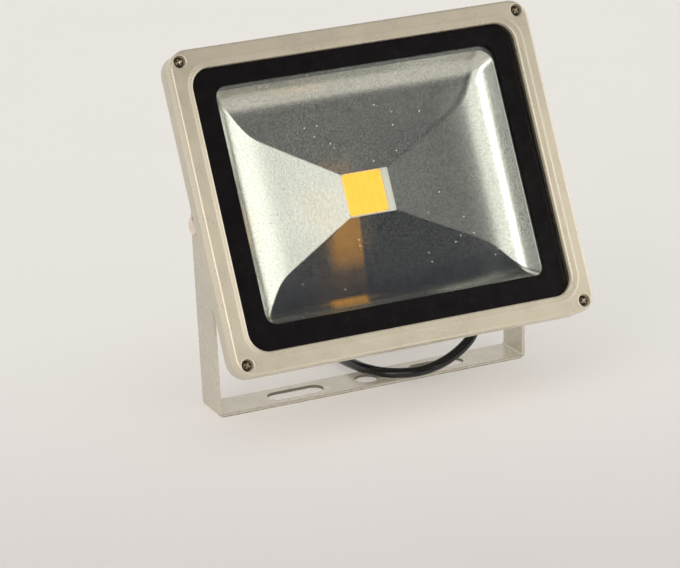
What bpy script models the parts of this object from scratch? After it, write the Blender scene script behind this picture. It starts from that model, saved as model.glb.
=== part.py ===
"""LED work light: die-cast floodlight head with glass front on a bent steel U-bracket.

Units are metres, +Z up, the lamp faces -Y and is tilted back. Sizes below are in
millimetres and are scaled by MM when vertices are made.

Head pieces are modelled in head coordinates (x, u, n): x across, u up the face,
n out of the face, with the pivot axis through x at u = n = 0. The empty
"tilt_axis" carries them at the tilt the lamp stands at.
"""
import math

import bmesh
import bpy
from mathutils import Euler, Matrix, Vector

for old in list(bpy.data.objects):
    bpy.data.objects.remove(old, do_unlink=True)

# ---------------------------------------------------------------- dimensions
MM = 0.001
GAP = 0.3                      # clearance between neighbouring pieces

TILT = math.radians(26.8)      # head leans back from vertical
PIVOT_Z = 114.0                # pivot axis above the floor
PIVOT_Y = 13.5                 # bracket plane, from the middle of the footprint

# front frame
FR_HX, FR_HU, FR_R = 112.5, 93.5, 11.0
FR_FRONT, FR_BACK = 40.0, 31.0
OPEN_HX, OPEN_HU, OPEN_R = 100.9, 81.6, 11.5
POCKET_HX, POCKET_HU, POCKET_R = 105.0, 85.7, 8.0
POCKET_N = 36.5
SCREW_X, SCREW_U = 106.0, 87.0

# glass, gasket, reflector
GLASS_HX, GLASS_HU, GLASS_R = 104.4, 85.1, 7.4
GLASS_T = 4.0
GLASS_N = 32.2
FLANGE_N0, FLANGE_N1 = 22.5, 30.7
RIM_HX, RIM_HU = 93.2, 76.5
HOLE_HX, HOLE_HU, HOLE_DX = 14.9, 12.9, 0.3
HOLE_N, RIM_N = 13.4, 30.4

# heat sink housing
BODY_HX, BODY_HU = 94.5, 79.0
PLATE_N0, PLATE_N1 = 2.5, 8.0
FIN_TIP = -19.5
FIN_COUNT = 19
FIN_ROOT_W, FIN_TIP_W = 3.2, 2.4
FIN_HU = 78.0
BOX_HX, BOX_U0, BOX_U1, BOX_R = 86.0, -38.0, 8.0, 4.0
BOX_N = -46.0
WALL = 4.0
CAVITY_N = -1.5                # inner end of the driver cavity
POST_X, POST_R = 45.0, 4.2

# gland and cord
GLAND_X, GLAND_N = 69.6, -36.0
GLAND_END_U = -55.0
CORD_D = 6.2
CORD_LENGTH = 1000.0

# bracket
BR_HX, BR_W, BR_T = 101.0, 24.0, 2.0     # half width at the pivots
BASE_HX, TOP_HX = 99.4, 101.17           # ... at the foot and the arm ends: the arms splay a little
BEND_R = 3.6
SLOT_X0, SLOT_X1, SLOT_R = 34.4, 57.0, 6.3
HOLE_R = 7.0
ARM_HOLE_R = 3.3

# pivot hardware (M6)
BOLT_R = 2.9
BOLT_AF = 10.0

ST, CT = math.sin(TILT), math.cos(TILT)


# ---------------------------------------------------------------- materials
def material(name, rgb, rough, metal=0.0):
    m = bpy.data.materials.new(name)
    m.use_nodes = True
    b = m.node_tree.nodes["Principled BSDF"]
    b.inputs["Base Color"].default_value = (*rgb, 1.0)
    b.inputs["Roughness"].default_value = rough
    b.inputs["Metallic"].default_value = metal
    m.diffuse_color = (*rgb, 1.0)
    return m


# ---------------------------------------------------------------- helpers
axis = bpy.data.objects.new("tilt_axis", None)
axis.location = (0.0, PIVOT_Y * MM, PIVOT_Z * MM)
axis.rotation_euler = (-TILT, 0.0, 0.0)
axis.empty_display_size = 0.03
bpy.context.scene.collection.objects.link(axis)


def H(x, u, n):
    """Head coordinates to the local frame of tilt_axis."""
    return Vector((x * MM, -n * MM, u * MM))


def world(x, u, n):
    """Head coordinates to world millimetres."""
    return Vector((x, PIVOT_Y + u * ST - n * CT, PIVOT_Z + u * CT + n * ST))


def make(name, bm, mat, parent=axis, loc=None, rot=None, smooth=False):
    bmesh.ops.remove_doubles(bm, verts=bm.verts, dist=1e-7)
    bmesh.ops.recalc_face_normals(bm, faces=bm.faces)
    me = bpy.data.meshes.new(name)
    bm.to_mesh(me)
    bm.free()
    if smooth:
        me.shade_smooth()
        me.set_sharp_from_angle(angle=math.radians(32))
    ob = bpy.data.objects.new(name, me)
    if mat is not None:
        me.materials.append(mat)
    bpy.context.scene.collection.objects.link(ob)
    ob.parent = parent
    if loc is not None:
        ob.location = loc
    if rot is not None:
        ob.rotation_euler = rot
    return ob


def place_copy(name, source, loc, rot=None):
    ob = bpy.data.objects.new(name, source.data)
    bpy.context.scene.collection.objects.link(ob)
    ob.parent = source.parent
    ob.location = loc
    ob.rotation_euler = source.rotation_euler if rot is None else rot
    return ob


def cutter(ob):
    ob.hide_render = True
    ob.display_type = "WIRE"
    return ob


def boolean(ob, other, op):
    m = ob.modifiers.new(op.lower(), "BOOLEAN")
    m.operation = op
    m.solver = "EXACT"
    m.object = cutter(other)


def cut(ob, other):
    boolean(ob, other, "DIFFERENCE")


def join(ob, other):
    boolean(ob, other, "UNION")


def rounded(hx, hu, r, seg=5):
    """Corner-rounded rectangle, as (x, u) points counter-clockwise."""
    pts = []
    for cx, cu, a0 in (
        (hx - r, hu - r, 0),
        (-(hx - r), hu - r, 90),
        (-(hx - r), -(hu - r), 180),
        (hx - r, -(hu - r), 270),
    ):
        for k in range(seg + 1):
            a = math.radians(a0 + 90.0 * k / seg)
            pts.append((cx + r * math.cos(a), cu + r * math.sin(a)))
    return pts


def loft(bm, rings, closed=False, caps=True):
    """Skin rings of 3-D points. closed joins the last ring to the first."""
    loops = [[bm.verts.new(p) for p in ring] for ring in rings]
    pairs = list(zip(loops, loops[1:]))
    if closed:
        pairs.append((loops[-1], loops[0]))
    for a, b in pairs:
        n = len(a)
        for i in range(n):
            j = (i + 1) % n
            bm.faces.new((a[i], a[j], b[j], b[i]))
    if caps and not closed:
        bm.faces.new(loops[0])
        bm.faces.new(list(reversed(loops[-1])))


def frame_loft(name, spec, mat, closed, seg=5, smooth=False, du=0.0, dx=0.0):
    """spec rows: (half x, half u, corner radius, n)."""
    bm = bmesh.new()
    rings = [
        [H(x + dx, u + du, n) for x, u in rounded(hx, hu, r, seg)] for hx, hu, r, n in spec
    ]
    loft(bm, rings, closed=closed)
    return make(name, bm, mat, smooth=smooth)


def lathe(bm, profile, seg, ring=False, hexes=None):
    """Turn (radius, height) points about +Z; ring makes a closed section with a bore."""
    hexes = hexes or {}
    rings = []
    for i, (r, h) in enumerate(profile):
        row = []
        for k in range(seg):
            a = 2 * math.pi * k / seg
            rr = r
            if i in hexes:
                # across-flats value: push the ring out onto a hexagon
                sector = (math.degrees(a) % 60.0) - 30.0
                rr = hexes[i] / 2.0 / math.cos(math.radians(sector))
            row.append(Vector((rr * math.cos(a) * MM, rr * math.sin(a) * MM, h * MM)))
        rings.append(row)
    loft(bm, rings, closed=ring)


def turned(name, profile, seg, mat, ring=False, hexes=None, **kw):
    bm = bmesh.new()
    lathe(bm, profile, seg, ring=ring, hexes=hexes)
    return make(name, bm, mat, smooth=True, **kw)


def bore(bm, at, turn, profile, seg=12):
    """Add a turned solid to a cutter; turn is one of the directions below."""
    tmp = bmesh.new()
    lathe(tmp, profile, seg)
    tmp.transform(Matrix.Translation(at) @ Euler(turn).to_matrix().to_4x4())
    me = bpy.data.meshes.new("solid")
    tmp.to_mesh(me)
    tmp.free()
    bm.from_mesh(me)
    bpy.data.meshes.remove(me)


def prism(bm, outline, lo, hi, place):
    """Extrude a 2-D outline between two values; place(a, b, c) makes the point."""
    loft(bm, [[place(a, b, lo) for a, b in outline], [place(a, b, hi) for a, b in outline]])


FRONT = (math.radians(90), 0.0, 0.0)      # +Z of a turned piece to the lamp's front
REAR = (math.radians(-90), 0.0, 0.0)      # ... to the lamp's back
DOWN = (math.radians(180), 0.0, 0.0)      # ... down the face
LEFT = (0.0, math.radians(-90), 0.0)
RIGHT = (0.0, math.radians(90), 0.0)

silver = material("silver_paint", (0.62, 0.58, 0.49), 0.42, 0.35)
strip_paint = material("strip_paint", (0.55, 0.52, 0.46), 0.45, 0.3)
glass_mat = material("front_glass", (0.05, 0.05, 0.05), 0.03)
silicone = material("silicone", (0.05, 0.05, 0.05), 0.6)
mirror = material("satin_reflector", (0.78, 0.79, 0.77), 0.22, 1.0)
copper = material("led_plate", (0.75, 0.73, 0.70), 0.35, 0.9)
white = material("white_moulding", (0.86, 0.85, 0.80), 0.45)
phosphor = material("phosphor", (0.95, 0.62, 0.12), 0.4)
steel = material("screw_steel", (0.62, 0.61, 0.59), 0.28, 1.0)
zinc = material("zinc_steel", (0.70, 0.64, 0.60), 0.3, 1.0)
nylon = material("black_nylon", (0.03, 0.03, 0.032), 0.45)
rubber = material("cord_rubber", (0.02, 0.019, 0.018), 0.38)
resin = material("driver_case", (0.80, 0.80, 0.78), 0.5)
paste = material("thermal_paste", (0.75, 0.75, 0.76), 0.7)
tin = material("tinned_copper", (0.80, 0.78, 0.74), 0.3, 1.0)
brown = material("core_brown", (0.22, 0.09, 0.03), 0.45)
blue = material("core_blue", (0.03, 0.12, 0.45), 0.45)
earth = material("core_green_yellow", (0.35, 0.55, 0.08), 0.45)
red = material("lead_red", (0.55, 0.03, 0.02), 0.45)
black = material("lead_black", (0.02, 0.02, 0.02), 0.45)

# ---------------------------------------------------------------- front frame
spec = [(FR_HX, FR_HU, FR_R, FR_BACK)]
spec += [
    (FR_HX - 2.8 * (1 - math.cos(a)), FR_HU - 2.8 * (1 - math.cos(a)), FR_R - 2.8 * (1 - math.cos(a)),
     FR_FRONT - 2.8 * (1 - math.sin(a)))
    for a in (math.radians(d) for d in (0, 35, 65, 90))
]
spec += [
    (OPEN_HX + 4.3, OPEN_HU + 4.3, OPEN_R + 4.3, FR_FRONT),        # flat outer band ends
    (OPEN_HX + 3.5, OPEN_HU + 3.5, OPEN_R + 3.5, FR_FRONT - 0.7),  # step down
    (OPEN_HX + 0.9, OPEN_HU + 0.9, OPEN_R + 0.9, FR_FRONT - 1.1),  # sloping inner band
    (OPEN_HX + 0.2, OPEN_HU + 0.2, OPEN_R + 0.2, FR_FRONT - 1.4),
    (OPEN_HX, OPEN_HU, OPEN_R, FR_FRONT - 2.0),                    # lip
    (OPEN_HX, OPEN_HU, OPEN_R, POCKET_N),
    (POCKET_HX, POCKET_HU, POCKET_R, POCKET_N),                    # glass pocket
    (POCKET_HX, POCKET_HU, POCKET_R, FR_BACK),
]
front_frame = frame_loft("front_frame", spec, silver, closed=True, smooth=True)

bm = bmesh.new()
for sx in (-1, 1):
    for su in (-1, 1):
        bore(bm, H(sx * SCREW_X, su * SCREW_U, 0), FRONT,
             [(2.15, FR_BACK - 1.5), (2.15, FR_FRONT - 3.6), (3.5, FR_FRONT - 3.6),
              (3.5, FR_FRONT - 0.5), (4.05, FR_FRONT), (4.05, FR_FRONT + 1.0)], 16)
cut(front_frame, make("cut_frame_holes", bm, None))

# pan head screws, M4, in the recesses
head_z = FR_FRONT - 3.6 + GAP
screw = turned(
    "frame_screw_top_left",
    [(0.01, -13.5), (1.2, -13.5), (1.6, -12.6), (1.6, 0.0), (3.15, 0.0), (3.15, 0.9), (2.7, 1.7), (1.5, 2.1), (0.01, 2.2)],
    12, steel, loc=H(-SCREW_X, SCREW_U, head_z), rot=FRONT,
)
place_copy("frame_screw_top_right", screw, H(SCREW_X, SCREW_U, head_z))
place_copy("frame_screw_bottom_right", screw, H(SCREW_X, -SCREW_U, head_z))
place_copy("frame_screw_bottom_left", screw, H(-SCREW_X, -SCREW_U, head_z))

# ---------------------------------------------------------------- glass, gasket
frame_loft(
    "glass_pane",
    [
        (GLASS_HX - 0.5, GLASS_HU - 0.5, GLASS_R - 0.5, GLASS_N),
        (GLASS_HX, GLASS_HU, GLASS_R, GLASS_N + 0.5),
        (GLASS_HX, GLASS_HU, GLASS_R, GLASS_N + GLASS_T - 0.5),
        (GLASS_HX - 0.5, GLASS_HU - 0.5, GLASS_R - 0.5, GLASS_N + GLASS_T),
    ],
    glass_mat, closed=False, seg=4,
)
frame_loft(
    "glass_gasket",
    [(104.0, 84.7, 7.0, 31.0), (104.0, 84.7, 7.0, 31.9), (96.5, 77.2, 4.0, 31.9), (96.5, 77.2, 4.0, 31.0)],
    silicone, closed=True, seg=3,
)

# ---------------------------------------------------------------- reflector
# the walls' slope in degrees against the distance from the middle: flat facets, a concave
# turn and a steep outer wall; both pairs of walls rise from the LED hole to the same rim
SLOPES_X = ((HOLE_HX, 6.9), (60.0, 6.9), (66.0, 10.0), (71.0, 16.0), (77.0, 24.0), (82.0, 35.0), (85.0, 43.0), (88.0, 45.0))
SLOPES_U = ((HOLE_HU, 9.6), (45.0, 9.6), (52.0, 12.5), (58.0, 19.0), (63.0, 35.0), (66.0, 43.0), (68.8, 44.0))


def slope_at(table, d):
    for (a, sa), (b, sb) in zip(table, table[1:]):
        if d <= b:
            return sa + (sb - sa) * (d - a) / (b - a)
    return table[-1][1]


def wall(table, count=400):
    """Distance and height along a wall, scaled to end at the rim."""
    step = (table[-1][0] - table[0][0]) / count
    h = [0.0]
    for k in range(count):
        h.append(h[-1] + step * math.tan(math.radians(slope_at(table, table[0][0] + step * (k + 0.5)))))
    return [(table[0][0] + step * k, HOLE_N + v * (RIM_N - HOLE_N) / h[-1]) for k, v in enumerate(h)]


def reach(points, n):
    for (d0, n0), (d1, n1) in zip(points, points[1:]):
        if n <= n1:
            return d0 + (d1 - d0) * (n - n0) / (n1 - n0)
    return points[-1][0]


wall_x, wall_u = wall(SLOPES_X), wall(SLOPES_U)
rows = [(RIM_HX, RIM_HU, 8.0, 30.6, 0.0), (88.6, 69.4, 7.4, 30.6, 0.0)]
for w in (1.0, 0.86, 0.7, 0.54, 0.42, 0.31):
    n_ = HOLE_N + (RIM_N - HOLE_N) * w
    rows.append((reach(wall_x, n_), reach(wall_u, n_), 0.9 + 6.1 * max(0.0, (w - 0.3) / 0.7) ** 1.6, n_, 0.0))
rows.append((HOLE_HX, HOLE_HU, 0.9, HOLE_N, HOLE_DX))
bm = bmesh.new()
rings = []
for side in (0, 1):
    part = []
    for i, (hx, hh, r, n, dx) in enumerate(rows):
        grow = 0.5 if side and 0 < i < len(rows) - 1 else 0.0
        part.append([H(x + dx, u, n - 0.8 * side) for x, u in rounded(hx + grow, hh + grow, r, 3)])
    rings += list(reversed(part)) if side else part
loft(bm, rings, closed=True)
make("reflector", bm, mirror, smooth=True)

# ---------------------------------------------------------------- LED module
LED_SCREW = 17.2
pad = frame_loft("thermal_pad", [(19.8, 19.8, 1.5, PLATE_N1 + 0.3), (19.8, 19.8, 1.5, PLATE_N1 + 0.9)], paste, closed=False, seg=2)
led_base = frame_loft("led_base", [(20.0, 20.0, 2.0, PLATE_N1 + 1.2), (20.0, 20.0, 2.0, PLATE_N1 + 2.4)], copper, closed=False, seg=2)
LED_N = PLATE_N1 + 2.7
frame_loft(
    "led_frame",
    [(15.5, 15.5, 2.0, LED_N), (15.5, 15.5, 2.0, LED_N + 0.5), (15.1, 15.1, 1.6, LED_N + 0.8), (12.9, 12.9, 1.2, LED_N + 0.8),
     (12.6, 12.6, 1.0, LED_N + 0.5), (12.6, 12.6, 1.0, LED_N)],
    white, closed=True, seg=2,
)
frame_loft(
    "led_phosphor",
    [(12.3, 12.3, 1.2, LED_N), (12.3, 12.3, 1.2, LED_N + 0.5), (12.0, 12.0, 1.0, LED_N + 0.7)],
    phosphor, closed=False, seg=2,
)
for plate, nm in ((pad, "cut_pad"), (led_base, "cut_led_base")):
    bm = bmesh.new()
    for sx in (-1, 1):
        for su in (-1, 1):
            bore(bm, H(sx * LED_SCREW, su * LED_SCREW, 0), FRONT, [(1.75, PLATE_N1 - 1.0), (1.75, PLATE_N1 + 4.0)])
    cut(plate, make(nm, bm, None))
led_screw = turned(
    "led_screw_1", [(0.01, -6.5), (1.4, -6.5), (1.4, 0.0), (2.6, 0.0), (2.6, 0.8), (1.8, 1.5), (0.01, 1.7)], 10, steel,
    loc=H(-LED_SCREW, LED_SCREW, LED_N), rot=FRONT,
)
place_copy("led_screw_2", led_screw, H(LED_SCREW, LED_SCREW, LED_N))
place_copy("led_screw_3", led_screw, H(LED_SCREW, -LED_SCREW, LED_N))
place_copy("led_screw_4", led_screw, H(-LED_SCREW, -LED_SCREW, LED_N))

# ---------------------------------------------------------------- heat sink housing
housing = frame_loft(
    "heat_sink_housing",
    [
        (FR_HX, FR_HU, FR_R, FLANGE_N1),
        (FR_HX, FR_HU, FR_R, FLANGE_N0 + 0.6),
        (FR_HX - 0.6, FR_HU - 0.6, FR_R - 0.6, FLANGE_N0),
        (BODY_HX + 1.6, BODY_HU + 1.0, 9.0, FLANGE_N0),
        (BODY_HX, BODY_HU - 1.0, 8.0, PLATE_N0),
    ],
    silver, closed=False, smooth=True,
)

# comb of fins, trimmed by the side outline of the casting
edge = BODY_HX - FIN_ROOT_W / 2
comb = [(-BODY_HX + 0.1, PLATE_N0 + 1.2), (BODY_HX - 0.1, PLATE_N0 + 1.2), (BODY_HX - 0.1, PLATE_N0 + 0.5)]
for k in range(FIN_COUNT):
    c = edge - 2 * edge * k / (FIN_COUNT - 1)
    w = FIN_ROOT_W / 2 - 0.15
    comb += [(c + w, PLATE_N0 + 0.5), (c + FIN_TIP_W / 2, FIN_TIP), (c - FIN_TIP_W / 2, FIN_TIP), (c - w, PLATE_N0 + 0.5)]
comb.append((-BODY_HX + 0.1, PLATE_N0 + 0.5))
bm = bmesh.new()
prism(bm, comb, -FIN_HU, FIN_HU, lambda a, b, c: H(a, c, b))
fins = make("form_fins", bm, None)
bm = bmesh.new()
side = [(-FIN_HU - 2, 12.0), (-FIN_HU + 0.6, PLATE_N0 - 1.0), (-FIN_HU + 6.0, -10.0), (-FIN_HU + 16.0, FIN_TIP + 0.8), (-FIN_HU + 20.0, FIN_TIP - 2),
        (FIN_HU - 20.0, FIN_TIP - 2), (FIN_HU - 16.0, FIN_TIP + 0.8), (FIN_HU - 6.0, -10.0), (FIN_HU - 0.6, PLATE_N0 - 1.0), (FIN_HU + 2, 12.0)]
prism(bm, side, -BODY_HX - 5, BODY_HX + 5, lambda a, b, c: H(c, a, b))
trim = make("form_fin_trim", bm, None)
boolean(fins, trim, "INTERSECT")
cutter(fins)
join(housing, fins)

# driver box, open at the back
cu, hu = (BOX_U0 + BOX_U1) / 2, (BOX_U1 - BOX_U0) / 2
drv = frame_loft(
    "form_driver_box",
    [(BOX_HX, hu, BOX_R, PLATE_N0 + 1.5), (BOX_HX, hu, BOX_R, BOX_N + 0.8), (BOX_HX - 0.8, hu - 0.8, BOX_R - 0.8, BOX_N)],
    None, closed=False, seg=4, du=cu,
)
join(housing, drv)

# side bosses for the pivot bolts
BOSS_X = BR_HX - BR_T - 1.6
for nm, rot in (("left", LEFT), ("right", RIGHT)):
    join(housing, turned("form_boss_" + nm, [(0.01, 80.5), (10.0, 80.5), (10.0, BOSS_X - 0.6), (9.4, BOSS_X), (0.01, BOSS_X)], 20, None, rot=rot))

# front bowl for reflector and LED
cut(housing, frame_loft(
    "cut_bowl",
    [(RIM_HX + 0.6, RIM_HU + 0.6, 8.6, FLANGE_N1 + 2), (RIM_HX + 0.6, RIM_HU + 0.6, 8.6, 29.4), (91.6, 75.2, 7.5, 29.4), (90.2, 73.8, 7.0, PLATE_N1)],
    None, closed=False, seg=4,
))
# driver cavity, with posts left for the cover screws
cavity = frame_loft(
    "cut_driver_cavity",
    [(BOX_HX - WALL, hu - WALL, 3.0, CAVITY_N), (BOX_HX - WALL, hu - WALL, 3.0, BOX_N - 2)],
    None, closed=False, seg=3, du=cu,
)
COVER_SCREWS = [(sx * POST_X, pu) for sx in (-1, 1) for pu in (BOX_U1 - WALL - 2.0, BOX_U0 + WALL + 2.0)]
bm = bmesh.new()
for px, pu in COVER_SCREWS:
    bore(bm, H(px, pu, 0), REAR, [(POST_R, 24.0), (POST_R, 50.0)], 14)
posts = make("form_cover_posts", bm, None)
boolean(cavity, posts, "DIFFERENCE")
cut(housing, cavity)

# drilled holes: frame screws, LED screws, cover screws, pivot bolts, gland, LED leads, earth
bm = bmesh.new()
for sx in (-1, 1):
    for su in (-1, 1):
        bore(bm, H(sx * SCREW_X, su * SCREW_U, 0), FRONT, [(1.95, FLANGE_N0 - 1.5), (1.95, FLANGE_N1 + 1.5)])
        bore(bm, H(sx * LED_SCREW, su * LED_SCREW, 0), FRONT, [(1.7, PLATE_N1 - 5.0), (1.7, PLATE_N1 + 1.5)], 10)
for px, pu in COVER_SCREWS:
    bore(bm, H(px, pu, 0), REAR, [(1.75, -BOX_N - 14.0), (1.75, -BOX_N + 1.5)])
for turn in (LEFT, RIGHT):
    bore(bm, H(0, 0, 0), turn, [(3.2, BOSS_X - 12.6), (3.2, BOSS_X + 1.5)], 14)
bore(bm, H(GLAND_X, 0, GLAND_N), DOWN, [(8.1, -BOX_U0 - WALL - 1.5), (8.1, -BOX_U0 + 1.5)], 20)
bore(bm, H(28.0, -12.0, 0), FRONT, [(2.8, CAVITY_N - 1.0), (2.8, PLATE_N1 + 1.5)])
bore(bm, H(-60.0, -2.0, 0), REAR, [(1.75, -CAVITY_N - 3.2), (1.75, -CAVITY_N + 1.5)], 10)
cut(housing, make("cut_drillings", bm, None))

# ---------------------------------------------------------------- driver and its cover
cover_z0, cover_t = BOX_N - 1.4, 3.0
gasket = frame_loft(
    "cover_gasket",
    [(BOX_HX - 0.6, hu - 0.6, 4.4, BOX_N - 0.3), (BOX_HX - 0.6, hu - 0.6, 4.4, BOX_N - 1.1),
     (BOX_HX - 3.6, hu - 3.6, 2.4, BOX_N - 1.1), (BOX_HX - 3.6, hu - 3.6, 2.4, BOX_N - 0.3)],
    silicone, closed=True, seg=3, du=cu,
)
cover = frame_loft(
    "driver_cover",
    [(BOX_HX, hu, BOX_R, cover_z0), (BOX_HX, hu, BOX_R, cover_z0 - cover_t + 0.8), (BOX_HX - 0.8, hu - 0.8, BOX_R - 0.8, cover_z0 - cover_t)],
    silver, closed=False, seg=4, du=cu,
)
bm = bmesh.new()
for px, pu in COVER_SCREWS:
    bore(bm, H(px, pu, 0), REAR, [(2.2, -cover_z0 - 1.5), (2.2, -cover_z0 + cover_t + 1.5)])
cut(cover, make("cut_cover", bm, None))
cs_n = cover_z0 - cover_t - GAP
cs = turned(
    "cover_screw_1", [(0.01, -16.0), (1.45, -16.0), (1.45, 0.0), (3.4, 0.0), (3.4, 1.0), (2.4, 2.0), (0.01, 2.3)], 12, steel,
    loc=H(*COVER_SCREWS[0], cs_n), rot=REAR,
)
for k in (1, 2, 3):
    place_copy("cover_screw_%d" % (k + 1), cs, H(*COVER_SCREWS[k], cs_n))

DRV_X0, DRV_X1 = -72.0, 50.0
frame_loft(
    "led_driver",
    [((DRV_X1 - DRV_X0) / 2, 11.8, 2.0, -4.2), ((DRV_X1 - DRV_X0) / 2, 11.8, 2.0, -31.0)],
    resin, closed=False, seg=3, du=-15.0, dx=(DRV_X0 + DRV_X1) / 2,
)

# ---------------------------------------------------------------- cable gland (M16)
turned(
    "gland_body",
    [(3.6, 30.2), (7.7, 30.2), (7.7, 38.3), (9.6, 38.3), (9.6, 42.4), (7.2, 42.4), (7.2, 48.0), (3.6, 48.0)],
    24, nylon, ring=True, hexes={3: 17.6, 4: 17.6}, loc=H(GLAND_X, 0, GLAND_N), rot=DOWN,
)
turned("gland_seal", [(3.5, 48.4), (6.3, 48.4), (5.2, 53.0), (3.5, 53.0)], 16, rubber, ring=True, loc=H(GLAND_X, 0, GLAND_N), rot=DOWN)
turned(
    "gland_nut",
    [(7.6, 42.8), (9.4, 42.8), (9.4, 49.6), (8.4, 52.6), (6.2, 54.6), (5.0, 55.0), (3.7, 55.0), (3.7, 53.4), (5.6, 53.4), (6.8, 48.2), (7.6, 48.2)],
    24, nylon, ring=True, hexes={1: 17.2, 2: 17.2}, loc=H(GLAND_X, 0, GLAND_N), rot=DOWN,
)
turned("gland_locknut", [(8.0, 31.0), (9.5, 31.0), (9.5, 33.7), (8.0, 33.7)], 24, nylon, ring=True, hexes={1: 17.6, 2: 17.6}, loc=H(GLAND_X, 0, GLAND_N), rot=DOWN)


# ---------------------------------------------------------------- routes for cords and leads
def smooth_route(points, step):
    """Even samples of a centripetal Catmull-Rom curve through the points."""
    p = [Vector(q) for q in points]
    p = [p[0] * 2 - p[1]] + p + [p[-1] * 2 - p[-2]]
    fine = []
    for i in range(1, len(p) - 2):
        t = [0.0]
        for k in range(3):
            t.append(t[-1] + math.sqrt((p[i + k] - p[i + k - 1]).length))
        for j in range(24):
            s = t[1] + (t[2] - t[1]) * j / 24
            a = [p[i - 1 + k] * ((t[k + 1] - s) / (t[k + 1] - t[k])) + p[i + k] * ((s - t[k]) / (t[k + 1] - t[k])) for k in range(3)]
            b = [a[k] * ((t[k + 2] - s) / (t[k + 2] - t[k])) + a[k + 1] * ((s - t[k]) / (t[k + 2] - t[k])) for k in range(2)]
            fine.append(b[0] * ((t[2] - s) / (t[2] - t[1])) + b[1] * ((s - t[1]) / (t[2] - t[1])))
    fine.append(p[-2])
    return fine


def trim_length(fine, length):
    out, run = [fine[0]], 0.0
    for a, b in zip(fine, fine[1:]):
        d = (b - a).length
        if run + d >= length:
            out.append(a + (b - a) * ((length - run) / d))
            return out
        run += d
        out.append(b)
    return out


def resample(fine, count):
    total = sum((b - a).length for a, b in zip(fine, fine[1:]))
    want = [total * k / (count - 1) for k in range(count)]
    out, run, i = [fine[0]], 0.0, 0
    for w in want[1:-1]:
        while run + (fine[i + 1] - fine[i]).length < w:
            run += (fine[i + 1] - fine[i]).length
            i += 1
        d = (fine[i + 1] - fine[i]).length
        out.append(fine[i] + (fine[i + 1] - fine[i]) * ((w - run) / d))
    out.append(fine[-1])
    return out


def tube(name, pts_mm, dia, mat, res=2):
    cu_ = bpy.data.curves.new(name, "CURVE")
    cu_.dimensions = "3D"
    cu_.bevel_depth = dia / 2 * MM
    cu_.bevel_resolution = res
    cu_.use_fill_caps = True
    sp = cu_.splines.new("POLY")
    sp.points.add(len(pts_mm) - 1)
    for k, q in enumerate(pts_mm):
        sp.points[k].co = (q[0] * MM, q[1] * MM, q[2] * MM, 1.0)
    cu_.materials.append(mat)
    ob = bpy.data.objects.new(name, cu_)
    bpy.context.scene.collection.objects.link(ob)
    return ob


# supply cord: out of the gland, a bow over the bracket's foot, back along the floor
# and into a coil of two by two turns behind the lamp, with its bare end beside it
COIL_RO, COIL_RI = 40.4, 34.0          # outer and inner turns, to the cord's centre
COIL_UP = 6.35                         # height between the two layers
COIL_C = Vector((COIL_RO - 0.5, PIVOT_Y + 83.5, 0.0))
TIE_A = math.radians(135)              # where the tie goes round the turns
LIFT = 0.45                            # the tie's strap lifts that side of the coil
TAIL_TH = 1170.0                       # the cord leaves the top layer here


def ease(a, b, v):
    w = min(1.0, max(0.0, (v - a) / (b - a)))
    return w * w * (3.0 - 2.0 * w)


def lift(x, y):
    return LIFT + LIFT * ((x - COIL_C.x) * math.cos(TIE_A) + (y - COIL_C.y) * math.sin(TIE_A)) / COIL_RO


def coil_at(th):
    """Point of the coil, th degrees clockwise from where the cord joins it."""
    inner = ease(292, 352, th) - ease(880, 940, th)
    up = ease(588, 648, th)
    roll = math.radians(90.0 * ease(TAIL_TH, TAIL_TH + 52, th))
    r = COIL_RO - (COIL_RO - COIL_RI) * inner + 6.9 * math.sin(roll) + 0.04 * max(0.0, th - TAIL_TH - 45)
    z = 3.2 + COIL_UP * up * math.cos(roll)
    a = math.radians(180.0 - th)
    x, y = COIL_C.x + r * math.cos(a), COIL_C.y + r * math.sin(a)
    return Vector((x, y, z + max(0.0, lift(x, y)) * math.cos(roll)))


exit_point = world(GLAND_X, GLAND_END_U - GAP, GLAND_N)
down = Vector((0.0, -ST, -CT))
b_y = PIVOT_Y
lead_in = [
    exit_point,
    exit_point + down * 7.0,
    exit_point + down * 14.0,
    Vector((70.4, b_y - 5.2, 28.5)),
    Vector((66.0, b_y - 8.8, 19.6)),
    Vector((56.3, b_y - 10.6, 12.2)),
    Vector((43.5, b_y - 12.2, 7.2)),
    Vector((28.8, b_y - 13.6, 5.45)),
    Vector((17.0, b_y - 10.8, 5.45)),
    Vector((7.8, b_y - 3.3, 5.45)),
    Vector((2.4, b_y + 6.5, 5.45)),
    Vector((-0.2, b_y + 17.5, 5.2)),
    Vector((-0.9, b_y + 30.0, 4.2)),
    Vector((-0.6, b_y + 46.0, 3.4)),
    Vector((-0.5, b_y + 62.0, 3.4)),
]
fine = trim_length(smooth_route(lead_in + [coil_at(15.0 * k) for k in range(90)], 1.0), CORD_LENGTH)


def coil_gap(p):
    """Distance from the cord's surface to the coil's outline, in plan."""
    return math.hypot(p.x - COIL_C.x, p.y - COIL_C.y) - COIL_RO - CORD_D - 0.1


run = []
for q in fine:
    if coil_gap(q) < GAP:
        break
    run.append(q)
tube("mains_cord", resample(run, 25), CORD_D, rubber)

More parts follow.
